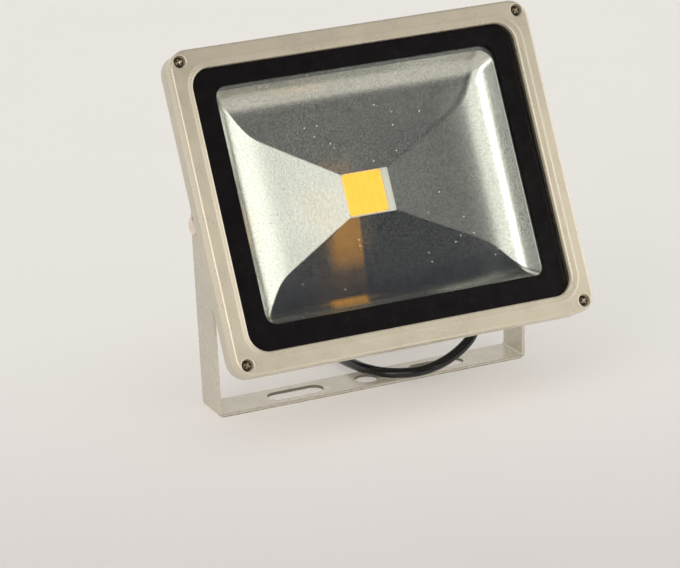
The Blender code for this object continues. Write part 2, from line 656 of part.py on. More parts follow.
# the coil as one turned ring
bm = bmesh.new()
rings = []
for k in range(40):
    a = 2 * math.pi * k / 40
    row = []
    for dr, h in ((COIL_RI - 2.2, 0.05), (COIL_RO + 2.2, 0.05), (COIL_RO + 3.2, 1.1), (COIL_RO + 3.2, 11.6), (COIL_RO + 2.2, 12.65),
                  (COIL_RI - 2.2, 12.65), (COIL_RI - 3.2, 11.6), (COIL_RI - 3.2, 1.1)):
        x, y = COIL_C.x + dr * math.cos(a), COIL_C.y + dr * math.sin(a)
        row.append(Vector((x, y, h + lift(x, y) + 0.05)) * MM)
    rings.append(row)
loft(bm, rings, closed=True)
make("cord_coil", bm, rubber, parent=None, smooth=True)

# strap round the turns
bm = bmesh.new()
tie_c = COIL_C + Vector((math.cos(TIE_A), math.sin(TIE_A), 0.0)) * (COIL_RO + COIL_RI) / 2
out_v, along_v = Vector((math.cos(TIE_A), math.sin(TIE_A), 0.0)), Vector((-math.sin(TIE_A), math.cos(TIE_A), 0.0))
rings = []
for along, grow in ((-3.5, 0.6), (3.5, 0.6), (3.5, 0.0), (-3.5, 0.0)):
    rings.append([
        (tie_c + out_v * a + along_v * along + Vector((0, 0, 7.35 + b))) * MM
        for a, b in rounded(7.0 + grow, 6.65 + grow, 1.6 + grow, 3)
    ])
loft(bm, rings, closed=True)
make("coil_tie", bm, nylon, parent=None, smooth=True)

# free end of the cord beside the coil
tail = []
for q in reversed(fine):
    if coil_gap(q) < GAP:
        break
    tail.insert(0, q)
tube("cord_end", resample(tail, 4), CORD_D, rubber)

# bare end: three cores with crimped ferrules, following the coil's curve
end = fine[-1] - COIL_C
end_r, end_a = math.hypot(end.x, end.y), math.atan2(end.y, end.x)
CORE_L, FERRULE_L = 24.0, 7.5
for nm, inward, away, hgt, mat in (
    ("brown", -1.62, 6.0, 2.3, brown), ("blue", 1.62, 0.0, 2.3, blue), ("green_yellow", 0.0, 3.0, 4.95, earth),
):
    def core_at(s_):
        r_ = end_r - inward + away * (s_ / CORE_L) ** 1.5
        a_ = end_a - s_ / end_r
        z_ = hgt + (1.5 - hgt) * min(1.0, s_ / CORE_L) ** 1.5
        return Vector((COIL_C.x + r_ * math.cos(a_), COIL_C.y + r_ * math.sin(a_), z_))

    tube("core_" + nm, [core_at(0.9 + (CORE_L - 0.9) * k / 7) for k in range(8)], 2.3, mat)
    tube("ferrule_" + nm, [core_at(CORE_L + 0.5 + FERRULE_L * k / 3) for k in range(4)], 1.7, tin)

# inner leads and cord tail, all in head coordinates
def lead(name, pts, dia, mat, count=10):
    ob = tube(name, resample(smooth_route([Vector(H(*q)) / MM for q in pts], 1.0), count), dia, mat)
    ob.parent = axis
    return ob


lead("cord_tail", [(GLAND_X, -54.8, GLAND_N), (GLAND_X, -40.0, GLAND_N), (GLAND_X, -25.0, GLAND_N)], CORD_D, rubber, 4)
lead("lead_live", [(GLAND_X - 1.6, -24.7, -37.0), (GLAND_X - 1.6, -21.0, -37.0), (65.0, -14.5, -30.0), (56.0, -13.0, -24.0), (50.4, -13.0, -24.0)], 2.2, brown)
lead("lead_neutral", [(GLAND_X + 1.6, -24.7, -37.0), (GLAND_X + 1.6, -19.0, -37.0), (68.0, -8.5, -30.0), (56.0, -8.0, -24.0), (50.4, -8.0, -24.0)], 2.2, blue)
lead("lead_earth", [(GLAND_X, -24.7, -34.0), (GLAND_X, -18.0, -32.0), (72.0, -8.0, -20.0), (62.0, -1.6, -9.0), (53.0, -0.6, -6.0), (40.0, -0.6, -5.0),
                    (0.0, -0.6, -5.0), (-40.0, -0.6, -5.0), (-56.0, -0.8, -3.2)], 2.2, earth, 22)
for nm, du_, mat in (("led_lead_positive", -1.15, red), ("led_lead_negative", 1.15, black)):
    lead(nm, [(50.4, -17.5 + 2.2 * du_, -13.0), (53.0, -17.5 + 2.2 * du_, -12.5), (55.0, -15.5 + 1.6 * du_, -8.0), (51.5, -13.2 + du_, -3.3),
              (45.0, -12.0 + du_, -2.85), (32.0, -12.0 + du_, -2.85), (29.6, -12.0 + du_, -2.6), (28.2, -12.0 + du_, -0.5), (27.9, -12.0 + du_, 3.0),
              (27.5, -12.0 + du_, 8.6), (25.5, -12.0 + du_, 10.8), (22.5, -12.0 + du_, 11.7), (17.2, -12.0 + du_, 11.7)], 1.6, mat, 40)
turned("earth_screw", [(0.01, -2.5), (1.4, -2.5), (1.4, 0.0), (2.8, 0.0), (2.8, 1.2), (0.01, 1.6)], 10, zinc,
       loc=H(-60.0, -2.0, CAVITY_N - GAP), rot=REAR)

# ---------------------------------------------------------------- bracket
t, R = BR_T, BEND_R
outer, inner = [], []
for k in range(5):
    a = math.radians(180 + 90 * k / 4)
    outer.append((-BASE_HX + R + R * math.cos(a), R + R * math.sin(a)))
    inner.append((-BASE_HX + R + (R - t) * math.cos(a), R + (R - t) * math.sin(a)))
prof = [(-TOP_HX, PIVOT_Z + BR_W / 2)] + outer + [(-x, z) for x, z in reversed(outer)] + [(TOP_HX, PIVOT_Z + BR_W / 2)]
prof += [(TOP_HX - t, PIVOT_Z + BR_W / 2)] + [(-x, z) for x, z in inner] + list(reversed(inner)) + [(-TOP_HX + t, PIVOT_Z + BR_W / 2)]
bm = bmesh.new()
prism(bm, prof, PIVOT_Y - BR_W / 2, PIVOT_Y + BR_W / 2, lambda a, b, c: Vector((a * MM, c * MM, b * MM)))
bracket = make("u_bracket", bm, strip_paint, parent=None)
# round the arm ends
bm = bmesh.new()
arc = [(PIVOT_Y + BR_W / 2 * math.cos(math.radians(180 * k / 14)), PIVOT_Z + BR_W / 2 * math.sin(math.radians(180 * k / 14))) for k in range(15)]
arc[0] = (PIVOT_Y + BR_W / 2 + 0.02, PIVOT_Z)
arc[-1] = (PIVOT_Y - BR_W / 2 - 0.02, PIVOT_Z)
arc += [(PIVOT_Y - BR_W, PIVOT_Z), (PIVOT_Y - BR_W, PIVOT_Z + BR_W), (PIVOT_Y + BR_W, PIVOT_Z + BR_W), (PIVOT_Y + BR_W, PIVOT_Z)]
prism(bm, arc, -BR_HX - 5, BR_HX + 5, lambda a, b, c: Vector((c * MM, a * MM, b * MM)))
cut(bracket, make("cut_arm_ends", bm, None, parent=None))
# foot slots, centre hole and pivot holes
bm = bmesh.new()


def stadium(x0, x1, r, seg=8):
    pts = []
    for k in range(seg + 1):
        a = math.radians(-90 + 180 * k / seg)
        pts.append((x1 + r * math.cos(a), r * math.sin(a)))
    for k in range(seg + 1):
        a = math.radians(90 + 180 * k / seg)
        pts.append((x0 + r * math.cos(a), r * math.sin(a)))
    return pts


for a0, a1, r in ((-SLOT_X1, -SLOT_X0, SLOT_R), (SLOT_X0, SLOT_X1, SLOT_R)):
    prism(bm, stadium(a0, a1, r), -1.0, BR_T + 1.0, lambda a, b, c: Vector((a * MM, (PIVOT_Y + b) * MM, c * MM)))
circle = [(HOLE_R * math.cos(2 * math.pi * k / 20), HOLE_R * math.sin(2 * math.pi * k / 20)) for k in range(20)]
prism(bm, circle, -1.0, BR_T + 1.0, lambda a, b, c: Vector((a * MM, (PIVOT_Y + b) * MM, c * MM)))
hole = [(ARM_HOLE_R * math.cos(2 * math.pi * k / 16), ARM_HOLE_R * math.sin(2 * math.pi * k / 16)) for k in range(16)]
for s in (-1, 1):
    prism(bm, hole, s * (BR_HX - 5), s * (BR_HX + 3), lambda a, b, c: Vector((c * MM, (PIVOT_Y + a) * MM, (PIVOT_Z + b) * MM)))
cut(bracket, make("cut_bracket_holes", bm, None, parent=None))

# ---------------------------------------------------------------- pivot hardware
for nm, rot in (("left", LEFT), ("right", RIGHT)):
    x0 = BR_HX + 0.25
    turned("pivot_washer_" + nm, [(3.3, x0), (5.4, x0), (5.4, x0 + 0.8), (3.3, x0 + 0.8)], 24, zinc, ring=True, rot=rot)
    x1 = x0 + 0.8 + 0.25
    turned(
        "pivot_bolt_" + nm,
        [(0.01, BOSS_X - 11.5), (2.3, BOSS_X - 11.5), (BOLT_R, BOSS_X - 10.7), (BOLT_R, x1), (5.0, x1), (5.0, x1 + 2.8), (4.6, x1 + 3.3), (0.01, x1 + 3.3)],
        24, zinc, hexes={4: BOLT_AF, 5: BOLT_AF}, rot=rot,
    )
    turned("friction_washer_" + nm, [(3.3, BOSS_X + GAP), (9.0, BOSS_X + GAP), (9.0, BOSS_X + 1.3), (3.3, BOSS_X + 1.3)], 20, nylon, ring=True, rot=rot)
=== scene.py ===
import math

import bmesh
import bpy
import numpy as np
from mathutils import Matrix, Vector


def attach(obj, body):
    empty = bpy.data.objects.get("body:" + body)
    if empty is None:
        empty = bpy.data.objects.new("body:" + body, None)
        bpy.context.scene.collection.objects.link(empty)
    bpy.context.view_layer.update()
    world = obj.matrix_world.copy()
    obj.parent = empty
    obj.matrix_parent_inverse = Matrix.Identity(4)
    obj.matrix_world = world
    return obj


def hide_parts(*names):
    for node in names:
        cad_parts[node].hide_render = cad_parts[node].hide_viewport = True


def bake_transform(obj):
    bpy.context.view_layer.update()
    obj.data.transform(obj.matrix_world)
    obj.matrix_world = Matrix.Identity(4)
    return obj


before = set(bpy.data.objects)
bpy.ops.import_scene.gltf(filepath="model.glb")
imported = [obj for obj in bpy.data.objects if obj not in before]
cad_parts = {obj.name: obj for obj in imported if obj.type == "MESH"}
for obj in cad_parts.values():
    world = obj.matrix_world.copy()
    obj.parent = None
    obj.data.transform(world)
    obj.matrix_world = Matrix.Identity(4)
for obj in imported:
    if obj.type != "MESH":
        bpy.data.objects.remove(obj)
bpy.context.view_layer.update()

# ------------------------------------------------------------------ frame of reference
# Head coordinates (x, u, n) in millimetres: x across, u up the face, n out of the face,
# measured from the tilt axis. The whole scene is in metres, in the frame of the model.
MM = 0.001
TILT = math.radians(26.8)
PIVOT_Y, PIVOT_Z = 13.5, 114.0
ST, CT = math.sin(TILT), math.cos(TILT)


def mmv(x, y, z):
    return Vector((x, y, z)) * MM


def H(x, u, n):
    return mmv(x, PIVOT_Y + u * ST - n * CT, PIVOT_Z + u * CT + n * ST)


# ------------------------------------------------------------------ camera
F_PX, AZ, EL, ROLL = 3354.27, 0.423628, 0.333575, -0.036745
TX, TY, DIST = -15.47, 57.28, 1976.66
fwd = Vector((math.sin(AZ) * math.cos(EL), math.cos(AZ) * math.cos(EL), -math.sin(EL)))
right = Vector((math.cos(AZ), -math.sin(AZ), 0.0))
up = right.cross(fwd)
cam_x = right * math.cos(ROLL) + up * math.sin(ROLL)
cam_y = up * math.cos(ROLL) - right * math.sin(ROLL)
cam_pos = cam_x * TX + cam_y * TY - fwd * DIST + Vector((0.0, PIVOT_Y, 0.0))
cam_data = bpy.data.cameras.new("camera")
cam_data.sensor_width = 36.0
cam_data.sensor_fit = "HORIZONTAL"
cam_data.lens = F_PX / 680.0 * 36.0
cam_data.clip_start, cam_data.clip_end = 0.05, 60.0
camera = bpy.data.objects.new("camera", cam_data)
bpy.context.scene.collection.objects.link(camera)
camera.matrix_world = Matrix((
    (cam_x.x, cam_y.x, -fwd.x, cam_pos.x * MM),
    (cam_x.y, cam_y.y, -fwd.y, cam_pos.y * MM),
    (cam_x.z, cam_y.z, -fwd.z, cam_pos.z * MM),
    (0.0, 0.0, 0.0, 1.0),
))
bpy.context.scene.camera = camera


# ------------------------------------------------------------------ node helper
class Nodes:
    """Short hand for building node trees."""

    def __init__(self, tree):
        self.t = tree

    def add(self, kind, inputs=None, **props):
        n = self.t.nodes.new(kind)
        for k, v in props.items():
            setattr(n, k, v)
        for k, v in (inputs or {}).items():
            self.put(n.inputs[k], v)
        return n

    def put(self, socket, v):
        if isinstance(v, bpy.types.NodeSocket):
            self.t.links.new(v, socket)
        elif isinstance(v, (tuple, list)) and len(v) == 3 and socket.type == "RGBA":
            socket.default_value = (*v, 1.0)
        else:
            socket.default_value = v

    def math(self, op, *args, clamp=False):
        n = self.t.nodes.new("ShaderNodeMath")
        n.operation, n.use_clamp = op, clamp
        for i, v in enumerate(args):
            self.put(n.inputs[i], v)
        return n.outputs[0]

    def span(self, v, a, b, c=0.0, d=1.0, mode="SMOOTHSTEP"):
        n = self.t.nodes.new("ShaderNodeMapRange")
        n.interpolation_type = mode
        for i, x in enumerate((v, a, b, c, d)):
            self.put(n.inputs[i], x)
        return n.outputs[0]

    def mix(self, f, a, b):
        n = self.t.nodes.new("ShaderNodeMix")
        n.data_type = "RGBA"
        self.put(n.inputs[0], f)
        self.put(n.inputs[6], a)
        self.put(n.inputs[7], b)
        return n.outputs[2]

    def noise(self, co, scale, detail=2.0, rough=0.5, dist=0.0):
        n = self.t.nodes.new("ShaderNodeTexNoise")
        self.put(n.inputs["Vector"], co)
        n.inputs["Scale"].default_value = scale
        n.inputs["Detail"].default_value = detail
        n.inputs["Roughness"].default_value = rough
        n.inputs["Distortion"].default_value = dist
        return n.outputs["Fac"]

    def cells(self, co, scale, rand=1.0, feature="F1"):
        n = self.t.nodes.new("ShaderNodeTexVoronoi")
        n.feature = feature
        self.put(n.inputs["Vector"], co)
        n.inputs["Scale"].default_value = scale
        n.inputs["Randomness"].default_value = rand
        return n

    def bump(self, height, strength, distance, normal=None):
        n = self.t.nodes.new("ShaderNodeBump")
        self.put(n.inputs["Height"], height)
        n.inputs["Strength"].default_value = strength
        n.inputs["Distance"].default_value = distance
        if normal is not None:
            self.put(n.inputs["Normal"], normal)
        return n.outputs["Normal"]


def shade(c, k):
    return tuple(min(1.0, x * k) for x in c)


def new_material(name):
    m = bpy.data.materials.new(name)
    m.use_nodes = True
    n = Nodes(m.node_tree)
    bsdf = m.node_tree.nodes["Principled BSDF"]
    co = n.add("ShaderNodeTexCoord").outputs["Object"]
    return m, n, bsdf, co


def paint(name, base, rough=0.42, vary=0.05, metal=0.0, spec=0.5, flake=0.06, peel=0.12, coat=0.0, light_fall=0.0, edge_shade=False):
    """Satin powder or spray paint: cloudy tone, fine sparkle and orange peel; it can also carry a painted grade of
    light, and painted shade in the slots and along the edges of a foot.
    """
    m, n, b, co = new_material(name)
    cloud = n.noise(co, 28.0, 4.0, 0.55)
    fine = n.noise(co, 1250.0, 2.0, 0.5)
    tone = n.mix(n.span(cloud, 0.3, 0.7, mode="LINEAR"), shade(base, 1.0 - vary), shade(base, 1.0 + vary))
    tone = n.mix(n.span(fine, 0.35, 0.75, 0.0, flake * 1.2, "LINEAR"), tone, shade(base, 1.25))
    x, y, z = n.add("ShaderNodeSeparateXYZ", {0: co}).outputs
    if light_fall:
        # painted light and shade: a slow change of tone, darker towards the upper edge, standing for the fall of light
        height = n.math("ADD", n.span(z, 0.215, 0.125, 0.0, 1.0), n.span(z, 0.080, 0.040, 0.0, -0.75))
        tone = n.mix(height, tone, n.mix(0.5, tone, shade(base, 1.0 + 2.0 * light_fall)))
    if edge_shade:
        # painted shade: the walls of the slots and of the centre hole darkened as if in shadow, a dark band low on the
        # upright faces for their contact shadow, and a dark line just under their upper edge
        nx, ny, nz = n.add("ShaderNodeSeparateXYZ", {0: n.add("ShaderNodeNewGeometry").outputs["Normal"]}).outputs
        upright = n.span(n.math("ABSOLUTE", nz), 0.35, 0.6, 1.0, 0.0)
        inside = n.span(n.math("ABSOLUTE", n.math("SUBTRACT", y, PIVOT_Y * MM)), 0.0085, 0.0100, 1.0, 0.0)
        flat = n.span(n.math("ABSOLUTE", x), 0.070, 0.080, 1.0, 0.0)
        cut = n.math("MULTIPLY", n.math("MULTIPLY", upright, inside), n.math("MULTIPLY", flat, n.span(z, 0.0020, 0.0024, 1.0, 0.0)))
        tone = n.mix(n.math("MULTIPLY", cut, n.span(fine, 0.3, 0.7, 0.80, 1.0, "LINEAR")), tone, (0.115, 0.100, 0.078))
        toe = n.math("MULTIPLY", n.math("MULTIPLY", upright, n.span(z, 0.00055, 0.00095, 1.0, 0.0)), n.span(cloud, 0.3, 0.6, 0.35, 0.75, "LINEAR"))
        tone = n.mix(toe, tone, (0.15, 0.135, 0.11))
        arris = n.math("MULTIPLY", n.math("MULTIPLY", upright, n.span(z, 0.00150, 0.00168)), n.span(z, 0.0020, 0.0022, 1.0, 0.0))
        tone = n.mix(n.math("MULTIPLY", arris, 0.8), tone, (0.17, 0.155, 0.125))
    n.put(b.inputs["Base Color"], tone)
    b.inputs["Metallic"].default_value = metal
    b.inputs["Specular IOR Level"].default_value = spec
    b.inputs["Coat Weight"].default_value = coat
    b.inputs["Coat Roughness"].default_value = 0.12
    n.put(b.inputs["Roughness"], n.span(n.noise(co, 90.0, 3.0), 0.25, 0.75, rough - 0.06, rough + 0.07, "LINEAR"))
    wave = n.noise(co, 620.0, 2.0, 0.5)
    n.put(b.inputs["Normal"], n.bump(fine, 0.02, 0.00003, n.bump(wave, peel * 0.5, 0.00008)))
    return m


def metal(name, base, rough=0.25, vary=0.12, grain=900.0, stretch=(1.0, 1.0, 1.0), depth=0.15, stain=0.0):
    """Bare or plated metal with drawn grain, uneven polish and a little tarnish."""
    m, n, b, co = new_material(name)
    gco = n.add("ShaderNodeMapping", {"Vector": co, "Scale": stretch}).outputs[0]
    g = n.noise(gco, grain, 2.0, 0.55)
    cloud = n.noise(co, 240.0, 3.0, 0.6)
    tone = n.mix(n.span(cloud, 0.3, 0.7, mode="LINEAR"), shade(base, 1.0 - vary), shade(base, 1.0 + vary * 0.5))
    if stain:
        tone = n.mix(n.span(n.noise(co, 420.0, 4.0, 0.7), 0.55, 0.7, 0.0, stain), tone, (0.19, 0.12, 0.07))
    n.put(b.inputs["Base Color"], tone)
    b.inputs["Metallic"].default_value = 1.0
    n.put(b.inputs["Roughness"], n.span(g, 0.25, 0.75, max(0.05, rough - 0.08), rough + 0.10, "LINEAR"))
    n.put(b.inputs["Normal"], n.bump(g, depth, 0.00006))
    return m


def plastic(name, base, rough=0.4, vary=0.06, grain=1400.0, depth=0.12, coat=0.0, spec=0.5, lint=0.0):
    """Moulded plastic or rubber: fine spark-eroded grain, uneven sheen, a little lint."""
    m, n, b, co = new_material(name)
    g = n.noise(co, grain, 2.0, 0.6)
    cloud = n.noise(co, 60.0, 3.0, 0.5)
    tone = n.mix(n.span(cloud, 0.3, 0.7, mode="LINEAR"), shade(base, 1.0 - vary), shade(base, 1.0 + vary))
    if lint:
        speck = n.cells(co, 330.0)
        tone = n.mix(n.span(speck.outputs["Distance"], 0.03, 0.08, lint, 0.0), tone, (0.32, 0.30, 0.27))
    n.put(b.inputs["Base Color"], tone)
    b.inputs["Specular IOR Level"].default_value = spec
    b.inputs["Coat Weight"].default_value = coat
    n.put(b.inputs["Roughness"], n.span(n.noise(co, 150.0, 3.0), 0.3, 0.7, max(0.04, rough - 0.07), rough + 0.08, "LINEAR"))
    n.put(b.inputs["Normal"], n.bump(g, depth, 0.00005))
    return m


# ------------------------------------------------------------------ materials
silver = paint("silver_paint", (0.582, 0.520, 0.402), rough=0.29, vary=0.03, metal=0.50, peel=0.04, coat=0.25, light_fall=0.20)
cast_silver = paint("cast_silver_paint", (0.57, 0.525, 0.43), rough=0.38, vary=0.05, metal=0.45, peel=0.10)
strip_paint = paint("strip_paint", (0.53, 0.49, 0.41), rough=0.26, vary=0.03, metal=0.38, peel=0.04, flake=0.04, edge_shade=True)
screw_steel = metal("screw_steel", (0.56, 0.52, 0.48), rough=0.20, vary=0.2, grain=1800.0, stain=0.35)
dark_steel = metal("frame_screw_steel", (0.085, 0.066, 0.052), rough=0.26, vary=0.25, grain=2400.0, depth=0.3, stain=0.4)
# lighter steel for the cross recesses: partly worn bright by the driver, partly a painted glint in the recess
worn_and_glint_steel = metal("screw_recess_steel", (0.80, 0.72, 0.60), rough=0.24, vary=0.15, grain=2400.0, depth=0.3, stain=0.25)
zinc = metal("zinc_steel", (0.88, 0.74, 0.65), rough=0.26, vary=0.12, grain=1500.0, stain=0.12)
tin = metal("tinned_copper", (0.80, 0.78, 0.73), rough=0.24, vary=0.1, grain=1800.0)
plate_metal = metal("led_plate", (0.78, 0.76, 0.72), rough=0.30, grain=700.0)
nylon = plastic("black_nylon", (0.022, 0.022, 0.024), rough=0.42, lint=0.25)
silicone = plastic("silicone", (0.035, 0.035, 0.035), rough=0.55)
rubber = plastic("cord_rubber", (0.0040, 0.0037, 0.0036), rough=0.17, vary=0.15, grain=700.0, depth=0.04, lint=0.03, coat=0.30, spec=0.42)
white_moulding = plastic("white_moulding", (0.62, 0.63, 0.57), rough=0.38, vary=0.03)
driver_case = plastic("driver_case", (0.78, 0.78, 0.75), rough=0.5, vary=0.05)
pad_grey = plastic("thermal_pad", (0.42, 0.42, 0.44), rough=0.7)
brown = plastic("core_brown", (0.20, 0.075, 0.028), rough=0.38)
blue = plastic("core_blue", (0.022, 0.10, 0.42), rough=0.38)
red = plastic("lead_red", (0.50, 0.03, 0.02), rough=0.38)
black = plastic("lead_black", (0.018, 0.018, 0.018), rough=0.38)


def two_tone_core():
    """Earth insulation: green with a yellow stripe wound along it."""
    m, n, b, co = new_material("core_green_yellow")
    wave = n.add("ShaderNodeTexWave", {"Vector": co, "Scale": 38.0, "Distortion": 1.2, "Detail": 1.0}, wave_type="BANDS", bands_direction="DIAGONAL")
    tone = n.mix(n.span(wave.outputs["Fac"], 0.46, 0.54), (0.045, 0.26, 0.035), (0.72, 0.56, 0.03))
    tone = n.mix(n.span(n.noise(co, 90.0, 3.0), 0.3, 0.7, 0.0, 0.2, "LINEAR"), tone, (0.10, 0.16, 0.03))
    n.put(b.inputs["Base Color"], tone)
    n.put(b.inputs["Roughness"], n.span(n.noise(co, 200.0, 2.0), 0.3, 0.7, 0.32, 0.46, "LINEAR"))
    n.put(b.inputs["Normal"], n.bump(n.noise(co, 1400.0), 0.12, 0.00005))
    return m


green_yellow = two_tone_core()


def make_reflector_material():
    """Bright rolled aluminium: soft mirror with a fine hammered grain and a few bright pits."""
    m, n, b, co = new_material("satin_reflector")
    grain = n.noise(co, 980.0, 3.0, 0.72)
    peen = n.noise(co, 380.0, 2.0, 0.5)
    cloud = n.noise(co, 42.0, 3.0, 0.5)
    tone = n.mix(n.span(cloud, 0.3, 0.7, mode="LINEAR"), (0.86, 0.868, 0.825), (0.92, 0.925, 0.885))
    tone = n.mix(n.span(grain, 0.36, 0.60, 0.42, 0.0, "LINEAR"), tone, (0.42, 0.43, 0.43))
    n.put(b.inputs["Base Color"], tone)
    b.inputs["Metallic"].default_value = 1.0
    pits = n.cells(co, 230.0)
    pit = n.math("MULTIPLY", n.span(pits.outputs["Distance"], 0.04, 0.12, 1.0, 0.0), n.math("GREATER_THAN", n.noise(co, 95.0, 0.0), 0.65))
    n.put(b.inputs["Roughness"], n.math("ADD", n.span(grain, 0.3, 0.7, 0.17, 0.25, "LINEAR"), n.math("MULTIPLY", pit, 0.30)))
    height = n.math("ADD", n.math("MULTIPLY", grain, 0.5), n.math("MULTIPLY", pit, 3.0))
    # painted reflection: the LED field as if mirrored a second time, in the lower facet and at its outer edge, painted
    # on as a faint warm glow
    px, py, pz = n.add("ShaderNodeSeparateXYZ", {0: co}).outputs
    hu = n.math("ADD", n.math("MULTIPLY", n.math("SUBTRACT", py, PIVOT_Y * MM), ST), n.math("MULTIPLY", n.math("SUBTRACT", pz, PIVOT_Z * MM), CT))
    drift = n.math("MULTIPLY_ADD", hu, 0.20, -0.0062)
    off = n.math("SUBTRACT", px, drift)
    fall = n.math("ADD", n.span(hu, -0.046, -0.034, 0.0, 0.88), n.span(hu, -0.063, -0.048, 0.0, 0.12))
    down_ = n.math("MULTIPLY", fall, n.span(hu, -0.0125, -0.0115, 1.0, 0.0))
    wide = n.math("MULTIPLY", n.span(off, -0.0008, 0.0008, 1.0, 0.0), n.span(off, -0.0245, -0.0130, 0.0, 1.0))
    lower = n.math("GREATER_THAN", n.math("SUBTRACT", n.math("MULTIPLY", hu, -1.0), n.math("MULTIPLY", n.math("ABSOLUTE", px), 0.72)), 0.0012)
    column = n.math("MULTIPLY", n.math("MULTIPLY", down_, wide), lower)
    bar = n.math("MULTIPLY", n.math("MULTIPLY", n.span(hu, -0.0650, -0.0630, 0.0, 1.0), n.span(hu, -0.0600, -0.0575, 1.0, 0.0)),
                 n.math("MULTIPLY", n.span(px, -0.045, -0.038, 0.0, 1.0), n.span(px, -0.0205, -0.0180, 1.0, 0.0)))
    painted_reflection = n.math("ADD", n.math("MULTIPLY", column, 0.21), n.math("MULTIPLY", bar, 0.22))
    painted_reflection = n.math("MULTIPLY", painted_reflection, n.span(grain, 0.3, 0.7, 0.85, 1.15, "LINEAR"))
    b.inputs["Emission Color"].default_value = (1.0, 0.42, 0.0, 1.0)
    n.put(b.inputs["Emission Strength"], painted_reflection)
    n.put(b.inputs["Normal"], n.bump(height, 0.33, 0.00014, n.bump(peen, 0.12, 0.00016)))
    return m


reflector_metal = make_reflector_material()


LED_DX, LED_DU = -1.1, 0.5


def make_phosphor():
    """Silicone filled with phosphor: deep yellow, faint columns of chips under it, pale edge; a painted glow, though
    the LED is unlit.
    """
    m, n, b, co = new_material("phosphor")
    cloud = n.noise(co, 160.0, 3.0, 0.5)
    fine = n.noise(co, 1500.0, 2.0, 0.5)
    x, y, z = n.add("ShaderNodeSeparateXYZ", {0: co}).outputs
    chips = n.math("SINE", n.math("MULTIPLY", x, 1550.0))
    tone = n.mix(n.span(cloud, 0.3, 0.7, mode="LINEAR"), (0.86, 0.40, 0.045), (0.90, 0.44, 0.055))
    n.put(b.inputs["Base Color"], tone)
    side = n.math("ABSOLUTE", n.math("SUBTRACT", x, LED_DX * MM))
    rise = n.math("ABSOLUTE", n.math("SUBTRACT", z, (PIVOT_Z + 11.2 * ST + LED_DU * CT) * MM))
    edge = n.math("MAXIMUM", n.span(side, 0.01155, 0.0121), n.span(rise, 0.01155 * CT, 0.0121 * CT))
    # painted light: the field glows faintly in its own colour, with the chip columns and a paler rim in the glow
    glow = n.mix(n.span(chips, -1.0, 1.0, mode="LINEAR"), (1.0, 0.45, 0.050), (1.0, 0.49, 0.068))
    glow = n.mix(edge, glow, (1.0, 0.72, 0.36))
    n.put(b.inputs["Emission Color"], glow)
    b.inputs["Emission Strength"].default_value = 0.56
    n.put(b.inputs["Roughness"], n.span(fine, 0.3, 0.7, 0.30, 0.42, "LINEAR"))
    n.put(b.inputs["Normal"], n.bump(fine, 0.10, 0.00005))
    return m


phosphor = make_phosphor()


def make_glass():
    """Flat clear sheet: straight-through sight with the sheen of a polished surface on each face."""
    m = bpy.data.materials.new("front_glass")
    m.use_nodes = True
    n = Nodes(m.node_tree)
    m.node_tree.nodes.remove(m.node_tree.nodes["Principled BSDF"])
    out = m.node_tree.nodes["Material Output"]
    co = n.add("ShaderNodeTexCoord").outputs["Object"]
    lw = n.add("ShaderNodeLayerWeight", {"Blend": 0.5})
    f = n.math("MULTIPLY_ADD", n.math("POWER", lw.outputs["Facing"], 5.0), 0.9, 0.043)
    smear = n.noise(co, 22.0, 4.0, 0.6)
    gloss = n.add("ShaderNodeBsdfAnisotropic", {"Color": (0.98, 1.0, 0.97), "Roughness": n.span(smear, 0.35, 0.7, 0.015, 0.05, "LINEAR")})
    clear = n.add("ShaderNodeBsdfTransparent", {"Color": (0.985, 0.987, 0.968)})
    both = n.add("ShaderNodeMixShader", {0: f, 1: clear.outputs[0], 2: gloss.outputs[0]})
    speck = n.cells(co, 95.0)
    keep = n.math("GREATER_THAN", n.noise(co, 37.0, 0.0), 0.60)
    dot = n.math("MULTIPLY", n.span(speck.outputs["Distance"], 0.010, 0.028, 0.5, 0.0), keep)
    lint = n.add("ShaderNodeBsdfDiffuse", {"Color": n.mix(smear, (0.62, 0.60, 0.56), (0.75, 0.73, 0.70))})
    dusty = n.add("ShaderNodeMixShader", {0: dot, 1: both.outputs[0], 2: lint.outputs[0]})
    m.node_tree.links.new(dusty.outputs[0], out.inputs["Surface"])
    return m


glass = make_glass()
enamel = plastic("black_enamel", (0.0050, 0.0035, 0.0037), rough=0.22, vary=0.10, grain=600.0, depth=0.05, spec=0.2)


# ------------------------------------------------------------------ mesh helpers
def rounded(hx, hu, r, seg=8, dx=0.0, du=0.0):
    """Rounded rectangle; r is one corner radius or four, from the upper right one on."""
    rs = r if isinstance(r, tuple) else (r, r, r, r)
    pts = []
    for rr, sx, su, a0 in zip(rs, (1, -1, -1, 1), (1, 1, -1, -1), (0, 90, 180, 270)):
        for k in range(seg + 1):
            a = math.radians(a0 + 90.0 * k / seg)
            pts.append((sx * (hx - rr) + rr * math.cos(a) + dx, su * (hu - rr) + rr * math.sin(a) + du))
    return pts


def skin(bm, rings, closed=False, caps=True):
    loops = [[bm.verts.new(p) for p in ring] for ring in rings]
    pairs = list(zip(loops, loops[1:]))
    if closed:
        pairs.append((loops[-1], loops[0]))
    for a, b in pairs:
        n = len(a)
        for i in range(n):
            j = (i + 1) % n
            bm.faces.new((a[i], a[j], b[j], b[i]))
    if caps and not closed:
        bm.faces.new(loops[0])
        bm.faces.new(list(reversed(loops[-1])))


